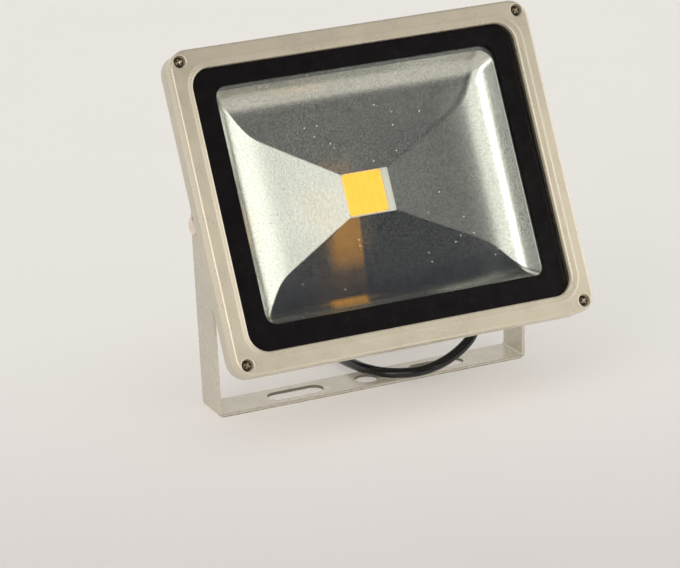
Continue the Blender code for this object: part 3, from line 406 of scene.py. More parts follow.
def finish_mesh(name, bm, mat, angle=35.0):
    bmesh.ops.remove_doubles(bm, verts=bm.verts, dist=1e-7)
    bmesh.ops.recalc_face_normals(bm, faces=bm.faces)
    me = bpy.data.meshes.new(name)
    bm.to_mesh(me)
    bm.free()
    me.shade_smooth()
    me.set_sharp_from_angle(angle=math.radians(angle))
    ob = bpy.data.objects.new(name, me)
    if mat is not None:
        me.materials.append(mat)
    bpy.context.scene.collection.objects.link(ob)
    return ob


def head_loft(name, spec, mat, closed, seg=8, angle=35.0, dx=0.0, du=0.0):
    bm = bmesh.new()
    rings = [[H(x, u, row[3]) for x, u in rounded(row[0], row[1], row[2], seg, dx, du)] for row in spec]
    skin(bm, rings, closed=closed)
    return finish_mesh(name, bm, mat, angle)


def lathe(bm, profile, seg, base, axis, ref=None, ring=False, hexes=None, phase=0.0):
    """Turn (radius, height) in mm about axis through base; hexes maps a row to its width across flats."""
    hexes = hexes or {}
    axis = Vector(axis).normalized()
    ref = Vector(ref) if ref is not None else (Vector((0, 0, 1)) if abs(axis.z) < 0.9 else Vector((1, 0, 0)))
    e1 = (ref - axis * ref.dot(axis)).normalized()
    e2 = axis.cross(e1)
    rings = []
    for i, (r, h) in enumerate(profile):
        row = []
        for k in range(seg):
            a = 2 * math.pi * k / seg + math.radians(phase)
            rr = r
            if i in hexes:
                sector = (math.degrees(a) % 60.0) - 30.0
                rr = min(hexes[i] / 2.0 / math.cos(math.radians(sector)), hexes[i] * 0.565)
            row.append(base + (e1 * (rr * math.cos(a)) + e2 * (rr * math.sin(a)) + axis * h) * MM)
        rings.append(row)
    skin(bm, rings, closed=ring)


def turned(name, profile, seg, base, axis, mat, angle=35.0, **kw):
    bm = bmesh.new()
    lathe(bm, profile, seg, base, axis, **kw)
    return finish_mesh(name, bm, mat, angle)


def settle(ob, angle=35.0):
    """Apply what modifiers the object has to its mesh."""
    dg = bpy.context.evaluated_depsgraph_get()
    me = bpy.data.meshes.new_from_object(ob.evaluated_get(dg), depsgraph=dg)
    ob.modifiers.clear()
    old = ob.data
    ob.data = me
    bpy.data.meshes.remove(old)
    me.shade_smooth()
    me.set_sharp_from_angle(angle=math.radians(angle))
    return ob


def carve(ob, cutters, op="DIFFERENCE"):
    for c in cutters:
        m = ob.modifiers.new("carve", "BOOLEAN")
        m.operation, m.solver, m.object = op, "EXACT", c
    bpy.context.view_layer.update()
    settle(ob)
    for c in cutters:
        bpy.data.objects.remove(c, do_unlink=True)
    return ob


def soften(ob, width, segments=2, angle=32.0, weighted=True):
    """Round the sharp edges of a mesh and keep its flat faces flat."""
    w = ob.modifiers.new("weld", "WELD")
    w.merge_threshold = 0.000002
    b = ob.modifiers.new("bevel", "BEVEL")
    b.width, b.segments, b.limit_method = width * MM, segments, "ANGLE"
    b.angle_limit = math.radians(angle)
    b.use_clamp_overlap = True
    b.miter_outer = "MITER_ARC"
    settle(ob, 38.0)
    if weighted:
        wn = ob.modifiers.new("normals", "WEIGHTED_NORMAL")
        wn.keep_sharp = True
        wn.weight = 80
    return ob


def put(ob, body, nodes=()):
    if body:
        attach(ob, body)
    if nodes:
        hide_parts(*nodes)
    return ob


# ------------------------------------------------------------------ routes
def smooth_route(points):
    p = [Vector(q) for q in points]
    p = [p[0] * 2 - p[1]] + p + [p[-1] * 2 - p[-2]]
    fine = []
    for i in range(1, len(p) - 2):
        t = [0.0]
        for k in range(3):
            t.append(t[-1] + math.sqrt((p[i + k] - p[i + k - 1]).length))
        for j in range(24):
            s = t[1] + (t[2] - t[1]) * j / 24
            a = [p[i - 1 + k] * ((t[k + 1] - s) / (t[k + 1] - t[k])) + p[i + k] * ((s - t[k]) / (t[k + 1] - t[k])) for k in range(3)]
            b = [a[k] * ((t[k + 2] - s) / (t[k + 2] - t[k])) + a[k + 1] * ((s - t[k]) / (t[k + 2] - t[k])) for k in range(2)]
            fine.append(b[0] * ((t[2] - s) / (t[2] - t[1])) + b[1] * ((s - t[1]) / (t[2] - t[1])))
    fine.append(p[-2])
    return fine


def trim_length(fine, length):
    out, run = [fine[0]], 0.0
    for a, b in zip(fine, fine[1:]):
        d = (b - a).length
        if run + d >= length:
            out.append(a + (b - a) * ((length - run) / d))
            return out
        run += d
        out.append(b)
    return out


def resample(fine, step):
    total = sum((b - a).length for a, b in zip(fine, fine[1:]))
    count = max(4, int(round(total / step)) + 1)
    want = [total * k / (count - 1) for k in range(count)]
    out, run, i = [fine[0]], 0.0, 0
    for w in want[1:-1]:
        while run + (fine[i + 1] - fine[i]).length < w:
            run += (fine[i + 1] - fine[i]).length
            i += 1
        d = (fine[i + 1] - fine[i]).length
        out.append(fine[i] + (fine[i + 1] - fine[i]) * ((w - run) / d))
    out.append(fine[-1])
    return out


def tube_mesh(name, pts, dia, mat, sides=20, dome=0.12):
    """A round tube along pts (mm), with rounded ends, turning as little as it can."""
    bm = bmesh.new()
    tangents = []
    for i in range(len(pts)):
        a, b = pts[max(0, i - 1)], pts[min(len(pts) - 1, i + 1)]
        tangents.append((b - a).normalized())
    side = Vector((0, 0, 1)) if abs(tangents[0].z) < 0.9 else Vector((1, 0, 0))
    side = (side - tangents[0] * side.dot(tangents[0])).normalized()
    rings = []
    prev = tangents[0]
    for i, (p, t) in enumerate(zip(pts, tangents)):
        side = prev.rotation_difference(t) @ side
        side = (side - t * side.dot(t)).normalized()
        prev = t
        other = t.cross(side)
        ends = [(1.0, 0.0)]
        if i == 0:
            ends = [(1.0 - dome, 0.0), (1.0, dome)]
        elif i == len(pts) - 1:
            ends = [(1.0, -dome), (1.0 - dome, 0.0)]
        for k, off in ends:
            r = dia / 2 * k
            rings.append([
                (p + t * (off * dia / 2) + (side * math.cos(2 * math.pi * j / sides) + other * math.sin(2 * math.pi * j / sides)) * r) * MM
                for j in range(sides)
            ])
    skin(bm, rings)
    return finish_mesh(name, bm, mat, 50.0)


# ------------------------------------------------------------------ supply cord
CORD_D, CORD_LENGTH = 6.2, 1000.0
GLAND_X, GLAND_END_U, GLAND_N = 69.6, -55.0, -36.0
COIL_RO, COIL_RI, COIL_UP = 40.4, 34.0, 6.35
COIL_C = Vector((COIL_RO - 0.5, PIVOT_Y + 83.5, 0.0))
TIE_A = math.radians(135)
LIFT = 0.45
TAIL_TH = 1170.0


def ease(a, b, v):
    w = min(1.0, max(0.0, (v - a) / (b - a)))
    return w * w * (3.0 - 2.0 * w)


def lift(x, y):
    return LIFT + LIFT * ((x - COIL_C.x) * math.cos(TIE_A) + (y - COIL_C.y) * math.sin(TIE_A)) / COIL_RO


def coil_at(th):
    inner = ease(292, 352, th) - ease(880, 940, th)
    up_ = ease(588, 648, th)
    roll = math.radians(90.0 * ease(TAIL_TH, TAIL_TH + 52, th))
    r = COIL_RO - (COIL_RO - COIL_RI) * inner + 6.9 * math.sin(roll) + 0.04 * max(0.0, th - TAIL_TH - 45)
    z = 3.2 + COIL_UP * up_ * math.cos(roll)
    a = math.radians(180.0 - th)
    x, y = COIL_C.x + r * math.cos(a), COIL_C.y + r * math.sin(a)
    return Vector((x, y, z + max(0.0, lift(x, y)) * math.cos(roll)))


exit_point = H(GLAND_X, GLAND_END_U - 0.3, GLAND_N) / MM
down = Vector((0.0, -ST, -CT))
b_y = PIVOT_Y
lead_in = [
    exit_point,
    exit_point + down * 7.0,
    exit_point + down * 14.0,
    Vector((70.4, b_y - 5.2, 28.5)),
    Vector((66.0, b_y - 8.8, 19.6)),
    Vector((56.3, b_y - 10.6, 12.2)),
    Vector((43.5, b_y - 12.2, 7.2)),
    Vector((28.8, b_y - 13.6, 5.45)),
    Vector((17.0, b_y - 10.8, 5.45)),
    Vector((7.8, b_y - 3.3, 5.45)),
    Vector((2.4, b_y + 6.5, 5.45)),
    Vector((-0.2, b_y + 17.5, 5.2)),
    Vector((-0.9, b_y + 30.0, 4.2)),
    Vector((-0.6, b_y + 46.0, 3.4)),
    Vector((-0.5, b_y + 62.0, 3.4)),
]
cord_line = trim_length(smooth_route(lead_in + [coil_at(15.0 * k) for k in range(90)]), CORD_LENGTH)
cord_path = resample(cord_line, 2.4)
cord = tube_mesh("supply_cord", cord_path, CORD_D, rubber, sides=24)
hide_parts("mains_cord", "cord_coil", "cord_end")
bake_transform(cord)

# strap round the turns
bm = bmesh.new()
tie_c = COIL_C + Vector((math.cos(TIE_A), math.sin(TIE_A), 0.0)) * (COIL_RO + COIL_RI) / 2
out_v = Vector((math.cos(TIE_A), math.sin(TIE_A), 0.0))
along_v = Vector((-math.sin(TIE_A), math.cos(TIE_A), 0.0))
rings = []
for along, grow in ((-3.2, 0.6), (3.2, 0.6), (3.5, 0.45), (3.5, 0.0), (-3.5, 0.0), (-3.5, 0.45)):
    rings.append([(tie_c + out_v * a + along_v * along + Vector((0, 0, 7.35 + b))) * MM for a, b in rounded(7.0 + grow, 6.65 + grow, 1.6 + grow, 6)])
skin(bm, rings, closed=True)
tie = put(finish_mesh("coil_strap", bm, nylon, 40.0), "bracket", ["coil_tie"])

# stripped end: three cores with crimped ferrules
end = cord_line[-1] - COIL_C
end_r, end_a = math.hypot(end.x, end.y), math.atan2(end.y, end.x)
CORE_L, FERRULE_L = 24.0, 7.5
for nm, inward, away, hgt, mat in (("brown", -1.62, 6.0, 2.3, brown), ("blue", 1.62, 0.0, 2.3, blue), ("green_yellow", 0.0, 3.0, 4.95, green_yellow)):
    def core_at(s_):
        r_ = end_r - inward + away * (s_ / CORE_L) ** 1.5
        a_ = end_a - s_ / end_r
        z_ = hgt + (1.5 - hgt) * min(1.0, s_ / CORE_L) ** 1.5
        return Vector((COIL_C.x + r_ * math.cos(a_), COIL_C.y + r_ * math.sin(a_), z_))

    core = tube_mesh("core_" + nm + "_wire", [core_at(0.9 + (CORE_L - 0.9) * k / 24) for k in range(25)], 2.3, mat, sides=14)
    crimp = [core_at(CORE_L + 0.5 + FERRULE_L * k / 12) for k in range(13)]
    fer = tube_mesh("ferrule_" + nm + "_pin", crimp, 1.7, tin, sides=12)
    put(core, "bracket", ["core_" + nm])
    put(fer, "bracket", ["ferrule_" + nm])

# ------------------------------------------------------------------ front frame
FR_HX, FR_HU, FR_R = 112.5, 93.5, 11.0
OPEN_HX, OPEN_HU, OPEN_R = 101.3, 81.6, 11.7
spec = [(FR_HX - 0.35, FR_HU - 0.35, FR_R - 0.35, 31.0), (FR_HX, FR_HU, FR_R, 31.35)]
for k in range(13):
    a = math.radians(90.0 * k / 12)
    d = 1.5 * (1 - math.cos(a))
    spec.append((FR_HX - d, FR_HU - d, FR_R - d, 40.0 - 1.5 * (1 - math.sin(a))))


def lip(off, n):
    spec.append((OPEN_HX + off, OPEN_HU + off, OPEN_R + off, n))


for off, n in ((5.3, 40.0), (5.0, 40.005), (4.6, 40.03), (4.2, 40.07), (3.9, 40.085), (3.5, 40.075), (3.1, 40.03), (2.7, 39.97), (2.4, 39.94), (2.0, 39.91),
               (1.6, 39.88), (1.3, 39.855), (1.05, 39.825), (0.8, 39.75), (0.55, 39.68), (0.33, 39.42), (0.12, 39.0), (0.0, 38.5), (0.0, 36.7), (0.06, 36.5)):
    lip(off, n)
spec += [(105.0, 85.7, 8.0, 36.5), (105.0, 85.7, 8.0, 31.0)]
frame_piece = head_loft("frame_casting", spec, silver, closed=True, seg=18)
SCREWS = [("top_left", -106.0, 87.0), ("top_right", 106.0, 87.0), ("bottom_right", 106.0, -87.0), ("bottom_left", -106.0, -87.0)]
N_AXIS = (H(0, 0, 1) - H(0, 0, 0)).normalized()
U_AXIS = (H(0, 1, 0) - H(0, 0, 0)).normalized()
cutters = []
for nm, sx, su in SCREWS:
    cutters.append(turned("cut_" + nm, [(0.0001, 29.5), (2.15, 29.5), (2.15, 36.4), (3.3, 36.4), (3.5, 36.6), (3.5, 39.4), (3.6, 39.66), (3.8, 39.86), (4.1, 39.96), (4.35, 40.02), (4.35, 41.0), (0.0001, 41.0)],
                          48, H(sx, su, 0), N_AXIS, None))
carve(frame_piece, cutters)
frame_piece.modifiers.new("normals", "WEIGHTED_NORMAL").keep_sharp = True
put(frame_piece, "head", ["front_frame"])

# frame screws: low pan head with a cross recess
for nm, sx, su in SCREWS:
    bm = bmesh.new()
    base = H(sx, su, 36.7)
    lathe(bm, [(0.001, -13.5), (1.1, -13.5), (1.6, -12.6), (1.6, 0.0), (2.95, 0.0), (3.12, 0.15), (3.15, 0.45), (3.1, 0.9), (2.9, 1.35), (2.5, 1.72), (1.9, 1.98), (1.0, 2.14), (0.001, 2.18)],
          40, base, N_AXIS, ref=U_AXIS)
    scr = finish_mesh("screw_" + nm, bm, dark_steel, 35.0)
    turn = math.radians({"top_left": 18, "top_right": 52, "bottom_right": 33, "bottom_left": 61}[nm])
    xa = Vector((1, 0, 0)) * math.cos(turn) + U_AXIS * math.sin(turn)
    ya = N_AXIS.cross(xa)
    bm = bmesh.new()
    rows = []
    for hl, hw, z in ((0.62, 0.34, 0.42), (1.05, 0.42, 0.75), (2.0, 0.58, 2.05), (2.3, 0.64, 2.8)):
        plus = ((hl, -hw), (hl, hw), (hw, hw), (hw, hl), (-hw, hl), (-hw, hw), (-hl, hw), (-hl, -hw), (-hw, -hw), (-hw, -hl), (hw, -hl), (hw, -hw))
        rows.append([base + (xa * c + ya * d_ + N_AXIS * z) * MM for c, d_ in plus])
    skin(bm, rows)
    carve(scr, [finish_mesh("cut_cross", bm, None)])
    # the cross recess takes the lighter steel: wear, and in part a painted glint
    scr.data.materials.append(worn_and_glint_steel)
    for f in scr.data.polygons:
        v = (f.center - base) / MM
        hh = v.dot(N_AXIS)
        rr = (v - N_AXIS * hh).length
        if rr < 2.3 and 0.3 < hh < 2.12 - 0.17 * rr - 0.06:
            f.material_index = 1
    put(scr, "head", ["frame_screw_" + nm])

# ------------------------------------------------------------------ glass with printed border
glass_piece = head_loft("glass_sheet", [(103.9, 84.6, 6.9, 32.2), (104.4, 85.1, 7.4, 32.6), (104.4, 85.1, 7.4, 35.8), (103.9, 84.6, 6.9, 36.2)], glass, closed=False, seg=10)
put(glass_piece, "head", ["glass_pane"])
WIN_HX, WIN_HU, WIN_R, WIN_DX, WIN_DU = 87.9, 68.9, 7.0, 1.0, 1.9
bm = bmesh.new()
rings = []
for n_ in (33.72, 33.84):
    rings.append([H(x, u, n_) for x, u in rounded(103.6, 84.3, 6.6, 16)])
inner = [[H(x, u, n_) for x, u in rounded(WIN_HX, WIN_HU, WIN_R, 16, dx=WIN_DX, du=WIN_DU)] for n_ in (33.84, 33.72)]
skin(bm, rings + inner, closed=True)
border = put(finish_mesh("printed_border", bm, enamel, 30.0), "head")

gasket = head_loft("glass_seal", [(104.0, 84.7, 7.0, 31.05), (104.0, 84.7, 7.0, 31.8), (103.8, 84.5, 6.8, 31.95), (96.8, 77.5, 4.3, 31.95), (96.5, 77.2, 4.0, 31.7), (96.5, 77.2, 4.0, 31.05)],
                   silicone, closed=True, seg=6)
put(gasket, "head", ["glass_gasket"])

# ------------------------------------------------------------------ reflector
# slope of each wall against its distance from the middle, in degrees
HOLE_X, HOLE_U, HOLE_R, HOLE_N, HOLE_DX = 14.9, 12.9, 0.9, 12.9, 0.3
SLOPES_X = ((14.9, 6.9), (60.0, 6.9), (66.0, 10.5), (71.0, 17.0), (76.6, 26.5), (82.2, 46.0), (84.0, 49.0), (88.0, 51.0))
SLOPES_U = ((12.9, 9.6), (45.0, 9.6), (52.0, 12.5), (58.0, 19.0), (63.0, 35.0), (66.0, 43.0), (68.8, 44.0))
RIM_N = 30.4


def wall(table, count=400):
    """Heights of a wall above the LED hole, from its slopes, scaled to end at the rim."""
    d = np.linspace(table[0][0], table[-1][0], count)
    t = np.tan(np.radians(np.interp(d, [a for a, _ in table], [b for _, b in table])))
    h = np.concatenate(([0.0], np.cumsum((t[1:] + t[:-1]) / 2 * np.diff(d))))
    return d, HOLE_N + h * (RIM_N - HOLE_N) / h[-1]


def reflector_rows():
    dx, nx = wall(SLOPES_X)
    du, nu = wall(SLOPES_U)
    rows = [(93.2, 76.5, 8.0, 30.6, 0.0), (88.6, 69.4, 7.4, 30.6, 0.0)]
    levels = RIM_N - (RIM_N - HOLE_N) * np.linspace(0.0, 1.0, 41) ** 1.15
    for n in levels[:-1]:
        w = (n - HOLE_N) / (RIM_N - HOLE_N)
        sharp = 0.7 + 6.3 * max(0.0, (w - 0.3) / 0.7) ** 1.6
        rows.append((float(np.interp(n, nx, dx)), float(np.interp(n, nu, du)), (max(sharp, 1.0 + 8.0 * w), sharp, sharp, sharp), float(n), HOLE_DX * (1.0 - w) ** 4))
    rows.append((HOLE_X, HOLE_U, HOLE_R, HOLE_N, HOLE_DX))
    return rows


rows = reflector_rows()
bm = bmesh.new()
rings = []
for side in (0, 1):
    part = []
    for i, (hx, hh, r, n, dx) in enumerate(rows):
        grow = 0.5 if side and 0 < i < len(rows) - 1 else 0.0
        part.append([H(x, u, n - 0.8 * side) for x, u in rounded(hx + grow, hh + grow, r, 6, dx=dx)])
    rings += list(reversed(part)) if side else part
skin(bm, rings, closed=True)
reflector = put(finish_mesh("reflector_pressing", bm, reflector_metal, 24.0), "head", ["reflector"])

# ------------------------------------------------------------------ LED module
LED_N = 10.7
bm = bmesh.new()
rings = []
for hx, hu, r, n_, dx, du in ((15.9, 15.5, 2.4, LED_N, 0, 0), (15.9, 15.5, 2.4, LED_N + 0.55, 0, 0), (15.8, 15.4, 2.3, LED_N + 0.75, 0, 0), (15.5, 15.1, 2.1, LED_N + 0.8, 0, 0), (13.75, 13.75, 2.9, LED_N + 0.8, LED_DX, LED_DU),
                              (13.6, 13.6, 2.8, LED_N + 0.15, LED_DX, LED_DU), (13.2, 13.2, 2.7, LED_N + 0.15, LED_DX, LED_DU), (13.05, 13.05, 2.6, LED_N + 0.78, LED_DX, LED_DU),
                              (12.75, 12.75, 2.5, LED_N + 0.78, LED_DX, LED_DU), (12.6, 12.6, 2.4, LED_N + 0.6, LED_DX, LED_DU), (12.6, 12.6, 2.4, LED_N, LED_DX, LED_DU)):
    rings.append([H(x, u, n_) for x, u in rounded(hx, hu, r, 6, dx=dx, du=du)])
skin(bm, rings, closed=True)
led_frame = finish_mesh("led_surround", bm, white_moulding)
put(led_frame, "head", ["led_frame"])
led_field = head_loft("led_field", [(12.3, 12.3, 2.2, LED_N), (12.3, 12.3, 2.2, LED_N + 0.45), (12.15, 12.15, 2.1, LED_N + 0.62), (11.8, 11.8, 1.8, LED_N + 0.70)], phosphor, closed=False, seg=6, dx=LED_DX, du=LED_DU)
put(led_field, "head", ["led_phosphor"])

# ------------------------------------------------------------------ bracket
BR_HX, BASE_HX, TOP_HX, BR_W, BR_T, BEND_R = 101.0, 99.4, 101.17, 24.0, 2.0, 3.6
outer, inner_ = [], []
for k in range(13):
    a = math.radians(180 + 90 * k / 12)
    outer.append((-BASE_HX + BEND_R + BEND_R * math.cos(a), BEND_R + BEND_R * math.sin(a)))
    inner_.append((-BASE_HX + BEND_R + (BEND_R - BR_T) * math.cos(a), BEND_R + (BEND_R - BR_T) * math.sin(a)))
TOP = PIVOT_Z + BR_W / 2
prof = [(-TOP_HX, TOP)] + outer + [(-x, z) for x, z in reversed(outer)] + [(TOP_HX, TOP)]
prof += [(TOP_HX - BR_T, TOP)] + [(-x, z) for x, z in inner_] + list(reversed(inner_)) + [(-TOP_HX + BR_T, TOP)]
bm = bmesh.new()
skin(bm, [[mmv(a, PIVOT_Y + s * BR_W / 2, b) for a, b in prof] for s in (-1, 1)])
bracket = finish_mesh("bracket_strip", bm, strip_paint)


def prism(name, outline, lo, hi, place):
    bm_ = bmesh.new()
    skin(bm_, [[place(a, b, lo) for a, b in outline], [place(a, b, hi) for a, b in outline]])
    return finish_mesh(name, bm_, None)


half = BR_W / 2
arc = [(PIVOT_Y + half * math.cos(math.radians(180 * k / 40)), PIVOT_Z + half * math.sin(math.radians(180 * k / 40))) for k in range(41)]
arc[0], arc[-1] = (PIVOT_Y + half + 0.02, PIVOT_Z), (PIVOT_Y - half - 0.02, PIVOT_Z)
arc += [(PIVOT_Y - 24, PIVOT_Z), (PIVOT_Y - 24, PIVOT_Z + 24), (PIVOT_Y + 24, PIVOT_Z + 24), (PIVOT_Y + 24, PIVOT_Z)]
tools = [prism("cut_ends", arc, -105.0, 105.0, lambda a, b, c: mmv(c, a, b))]


def stadium(x0, x1, r, seg=20):
    pts = [(x1 + r * math.cos(math.radians(-90 + 180 * k / seg)), r * math.sin(math.radians(-90 + 180 * k / seg))) for k in range(seg + 1)]
    pts += [(x0 + r * math.cos(math.radians(90 + 180 * k / seg)), r * math.sin(math.radians(90 + 180 * k / seg))) for k in range(seg + 1)]
    return pts


for k, (a0, a1) in enumerate(((-57.0, -34.4), (34.4, 57.0))):
    tools.append(prism("cut_slot_%d" % k, stadium(a0, a1, 6.3), -1.0, 3.0, lambda a, b, c: mmv(a, PIVOT_Y + b, c)))
circle = [(math.cos(2 * math.pi * k / 48), math.sin(2 * math.pi * k / 48)) for k in range(48)]
tools.append(prism("cut_centre", [(7.0 * a, 7.0 * b) for a, b in circle], -1.0, 3.0, lambda a, b, c: mmv(a, PIVOT_Y + b, c)))
for s in (-1, 1):
    tools.append(prism("cut_pivot_%d" % (s + 1), [(3.3 * a, 3.3 * b) for a, b in circle], s * 95.0, s * 103.0, lambda a, b, c: mmv(c, PIVOT_Y + a, PIVOT_Z + b)))
carve(bracket, tools)
soften(bracket, 0.28, 3, angle=50.0)
put(bracket, "bracket", ["u_bracket"])

# ------------------------------------------------------------------ pivot hardware
BOSS_X = 97.4
for nm, s in (("left", -1), ("right", 1)):
    origin, ax = mmv(0, PIVOT_Y, PIVOT_Z), Vector((s, 0, 0))
    wx = 101.25
    washer = turned("washer_" + nm, [(3.3, wx), (3.35, wx + 0.7), (3.45, wx + 0.8), (5.25, wx + 0.8), (5.4, wx + 0.65), (5.4, wx)], 48, origin, ax, zinc, ring=True)
    put(washer, "head", ["pivot_washer_" + nm])
    x1 = wx + 1.05
    bolt = turned("bolt_" + nm, [(0.001, BOSS_X - 11.5), (2.3, BOSS_X - 11.5), (2.9, BOSS_X - 10.7), (2.9, x1), (4.6, x1), (4.95, x1 + 0.15), (5.0, x1 + 0.5), (5.0, x1 + 2.5), (4.9, x1 + 2.9),
                                 (4.55, x1 + 3.22), (3.6, x1 + 3.3), (2.6, x1 + 3.26), (0.001, x1 + 3.24)], 96, origin, ax, zinc, ref=(0, 0.26, 0.97), hexes={6: 10.0, 7: 10.0}, angle=28.0)
    put(bolt, "head", ["pivot_bolt_" + nm])
    fw = turned("friction_" + nm, [(3.3, BOSS_X + 0.3), (3.3, BOSS_X + 1.3), (8.8, BOSS_X + 1.3), (9.0, BOSS_X + 1.1), (9.0, BOSS_X + 0.5), (8.8, BOSS_X + 0.3)], 40, origin, ax, nylon, ring=True)
    put(fw, "head", ["friction_washer_" + nm])


# ------------------------------------------------------------------ pieces that follow the model's own solids
def refine(node, name, mat, width, body="head", segments=2, angle=32.0):
    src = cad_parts[node]
    me = src.data.copy()
    ob = bpy.data.objects.new(name, me)
    bpy.context.scene.collection.objects.link(ob)
    bm_ = bmesh.new()
    bm_.from_mesh(me)
    bmesh.ops.remove_doubles(bm_, verts=bm_.verts, dist=2e-6)
    bmesh.ops.dissolve_limit(bm_, angle_limit=math.radians(0.6), verts=bm_.verts, edges=bm_.edges)
    clean = bpy.data.meshes.new(name)
    bm_.to_mesh(clean)
    bm_.free()
    ob.data = clean
    bpy.data.meshes.remove(me)
    clean.shade_smooth()
    clean.set_sharp_from_angle(angle=math.radians(angle))
    clean.materials.clear()
    clean.materials.append(mat)
    if width:
        soften(ob, width, segments, angle)
    put(ob, body, [node])
    return ob


refine("heat_sink_housing", "housing_casting", cast_silver, 0.45)
refine("driver_cover", "driver_lid", cast_silver, 0.3, angle=40.0)
refine("gland_body", "gland_shell", nylon, 0.3)
refine("gland_nut", "gland_cap", nylon, 0.25)
for k in range(1, 5):
    refine("cover_screw_%d" % k, "lid_screw_%d" % k, screw_steel, 0.15)

# everything else keeps its own solid and takes a finished surface
FINISH = {
    "thermal_pad": pad_grey, "led_base": plate_metal, "led_screw_": screw_steel, "led_driver": driver_case, "cover_gasket": silicone,
    "gland_seal": rubber, "gland_locknut": nylon, "cord_tail": rubber, "lead_live": brown, "lead_neutral": blue, "lead_earth": green_yellow,
    "led_lead_positive": red, "led_lead_negative": black, "earth_screw": zinc,
}
for node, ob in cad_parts.items():
    if ob.hide_render:
        continue
    for key, mat in FINISH.items():
        if node.startswith(key):
            ob.data.materials.clear()
            ob.data.materials.append(mat)
            break

# ------------------------------------------------------------------ floor
bm = bmesh.new()
rings = []
for r in (0.0002, 0.4, 0.9, 1.8, 4.0, 9.0):
    rings.append([Vector((r * math.cos(2 * math.pi * k / 64), r * math.sin(2 * math.pi * k / 64), 0.0)) for k in range(64)])
skin(bm, rings, caps=False)
floor = finish_mesh("studio_floor", bm, None)
m, n, b, co = new_material("studio_paper")
fx, fy, fz = n.add("ShaderNodeSeparateXYZ", {0: co}).outputs
depth = n.math("ADD", n.math("MULTIPLY", fx, math.sin(AZ)), n.math("MULTIPLY", fy, math.cos(AZ)))
# painted shade: the paper is darker towards the front, standing for the fall of light across the floor
painted_falloff = n.span(depth, -0.26, 0.12, 0.0, 1.0, "LINEAR")
cloud = n.noise(co, 5.0, 2.0)
n.put(b.inputs["Base Color"], n.mix(n.span(cloud, 0.3, 0.7, 0.0, 0.12, "LINEAR"), n.mix(painted_falloff, (0.685, 0.650, 0.645), (0.805, 0.785, 0.76)), (0.76, 0.745, 0.73)))
n.put(b.inputs["Roughness"], n.span(n.noise(co, 12.0), 0.3, 0.7, 0.75, 0.9, "LINEAR"))
b.inputs["Specular IOR Level"].default_value = 0.1
floor.data.materials.append(m)

# ------------------------------------------------------------------ light
world = bpy.data.worlds.new("studio")
bpy.context.scene.world = world
world.use_nodes = True
wt = world.node_tree
n = Nodes(wt)
bg = wt.nodes["Background"]
d = n.add("ShaderNodeSeparateXYZ", {0: n.add("ShaderNodeTexCoord").outputs["Generated"]})
dx_, dy_, dz_ = d.outputs
az = n.math("DEGREES", n.math("ARCTAN2", dx_, n.math("MULTIPLY", dy_, -1.0)))
el = n.math("DEGREES", n.math("ARCSINE", dz_))


def band(v, a0, a1, b0, b1):
    """1 between a1 and b0, soft down to 0 at a0 and b1."""
    return n.math("MULTIPLY", n.span(v, a0, a1), n.span(v, b0, b1, 1.0, 0.0))


def box(a, e, level):
    return n.math("MULTIPLY", n.math("MULTIPLY", a, e), level)


back = n.math("ABSOLUTE", az)
low = n.span(el, 22.0, 42.0, 1.0, 0.0)
total = n.math("MULTIPLY", n.span(back, 88.0, 118.0), n.math("MULTIPLY", low, 0.80))                             # pale paper behind
total = n.math("ADD", total, box(band(az, 33.5, 39.5, 92.0, 104.0), band(el, -6.0, 4.0, 31.5, 38.0), 1.57))     # wide soft light, front right
total = n.math("ADD", total, box(band(az, -62.0, -56.0, -39.0, -34.0), band(el, -6.0, 2.0, 40.0, 52.0), 2.4))   # soft light, front left
total = n.math("ADD", total, box(band(az, -40.0, -34.0, -5.0, 6.0), band(el, -6.0, 2.0, 38.0, 50.0), 1.10))     # its spill
total = n.math("ADD", total, box(band(az, -112.0, -92.0, -66.0, -58.0), band(el, -6.0, 2.0, 36.0, 50.0), 0.30))
total = n.math("ADD", total, box(band(az, -4.0, 4.0, 13.0, 20.0), band(el, 22.0, 30.0, 40.0, 50.0), 0.24))
total = n.math("ADD", total, box(band(az, 18.0, 26.0, 36.0, 44.0), band(el, 0.0, 8.0, 23.0, 31.0), 0.12))
total = n.math("ADD", total, n.math("MULTIPLY", n.span(el, 54.0, 66.0, 0.0, 1.0), band(az, -130.0, -105.0, -20.0, 0.0)))                                                 # light overhead
dim = n.add("ShaderNodeCombineColor", {0: n.math("MULTIPLY", n.span(el, -30.0, 0.0), 0.037), 1: n.math("MULTIPLY", n.span(el, -30.0, 0.0), 0.038), 2: n.math("MULTIPLY", n.span(el, -30.0, 0.0), 0.050)})
lit = n.add("ShaderNodeCombineColor", {0: total, 1: n.math("MULTIPLY", total, 0.995), 2: n.math("MULTIPLY", total, 0.955)})
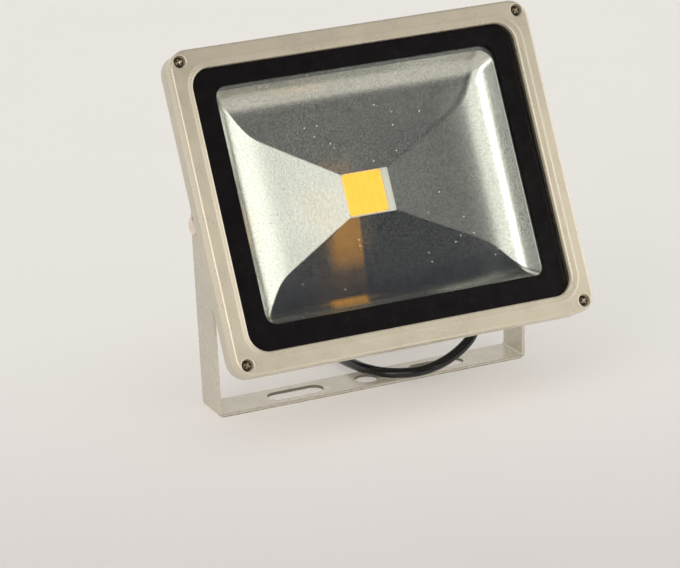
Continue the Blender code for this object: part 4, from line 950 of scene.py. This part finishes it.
tint = n.add("ShaderNodeMix", {0: 1.0, 6: lit.outputs[0], 7: dim.outputs[0]}, data_type="RGBA", blend_type="ADD", clamp_result=False)
path = n.add("ShaderNodeLightPath")
soft = n.mix(n.span(el, -20.0, 70.0, 0.0, 1.0, "LINEAR"), (0.26, 0.258, 0.25), (0.40, 0.398, 0.39))
look = n.mix(path.outputs["Is Diffuse Ray"], tint.outputs[2], soft)
look = n.mix(path.outputs["Is Camera Ray"], look, (0.80, 0.785, 0.755))
n.put(bg.inputs["Color"], look)
bg.inputs["Strength"].default_value = 1.0

# even fill from above and from the left, as from large sheets close by
for nm, aim, power, tone in (("fill_top", (-0.10, -0.30, 0.95), 1.62, (1.0, 0.988, 0.962)), ("fill_left", (-0.85, -0.40, 0.34), 1.15, (1.0, 0.985, 0.955)), ("fill_low", (0.35, -0.80, 0.15), 0.35, (1.0, 0.985, 0.955))):
    sun = bpy.data.lights.new(nm, "SUN")
    sun.energy, sun.angle, sun.color = power, math.radians(50), tone
    sun.use_shadow = False
    ob = bpy.data.objects.new(nm, sun)
    bpy.context.scene.collection.objects.link(ob)
    ob.rotation_mode = "QUATERNION"
    ob.rotation_quaternion = (-Vector(aim)).to_track_quat("-Z", "Y")
    ob.location = Vector(aim) * 1.5
    ob.visible_glossy = False

# a sheet low in front lifts the lower half of the head
card = bpy.data.lights.new("fill_card", "AREA")
card.shape, card.size, card.size_y, card.energy, card.color = "RECTANGLE", 0.5, 0.16, 0.75, (1.0, 0.988, 0.965)
card.use_shadow = False
ob = bpy.data.objects.new("fill_card", card)
bpy.context.scene.collection.objects.link(ob)
ob.location = (0.06, -0.46, 0.10)
ob.rotation_mode = "QUATERNION"
ob.rotation_quaternion = Vector((-0.10, 1.0, -0.02)).to_track_quat("-Z", "Y")
ob.visible_glossy = False
group = bpy.data.collections.new("not_lit_by_card")
group.objects.link(floor)
ob.light_linking.receiver_collection = group
group.collection_objects[0].light_linking.link_state = "EXCLUDE"

bpy.context.scene.view_settings.view_transform = "Standard"
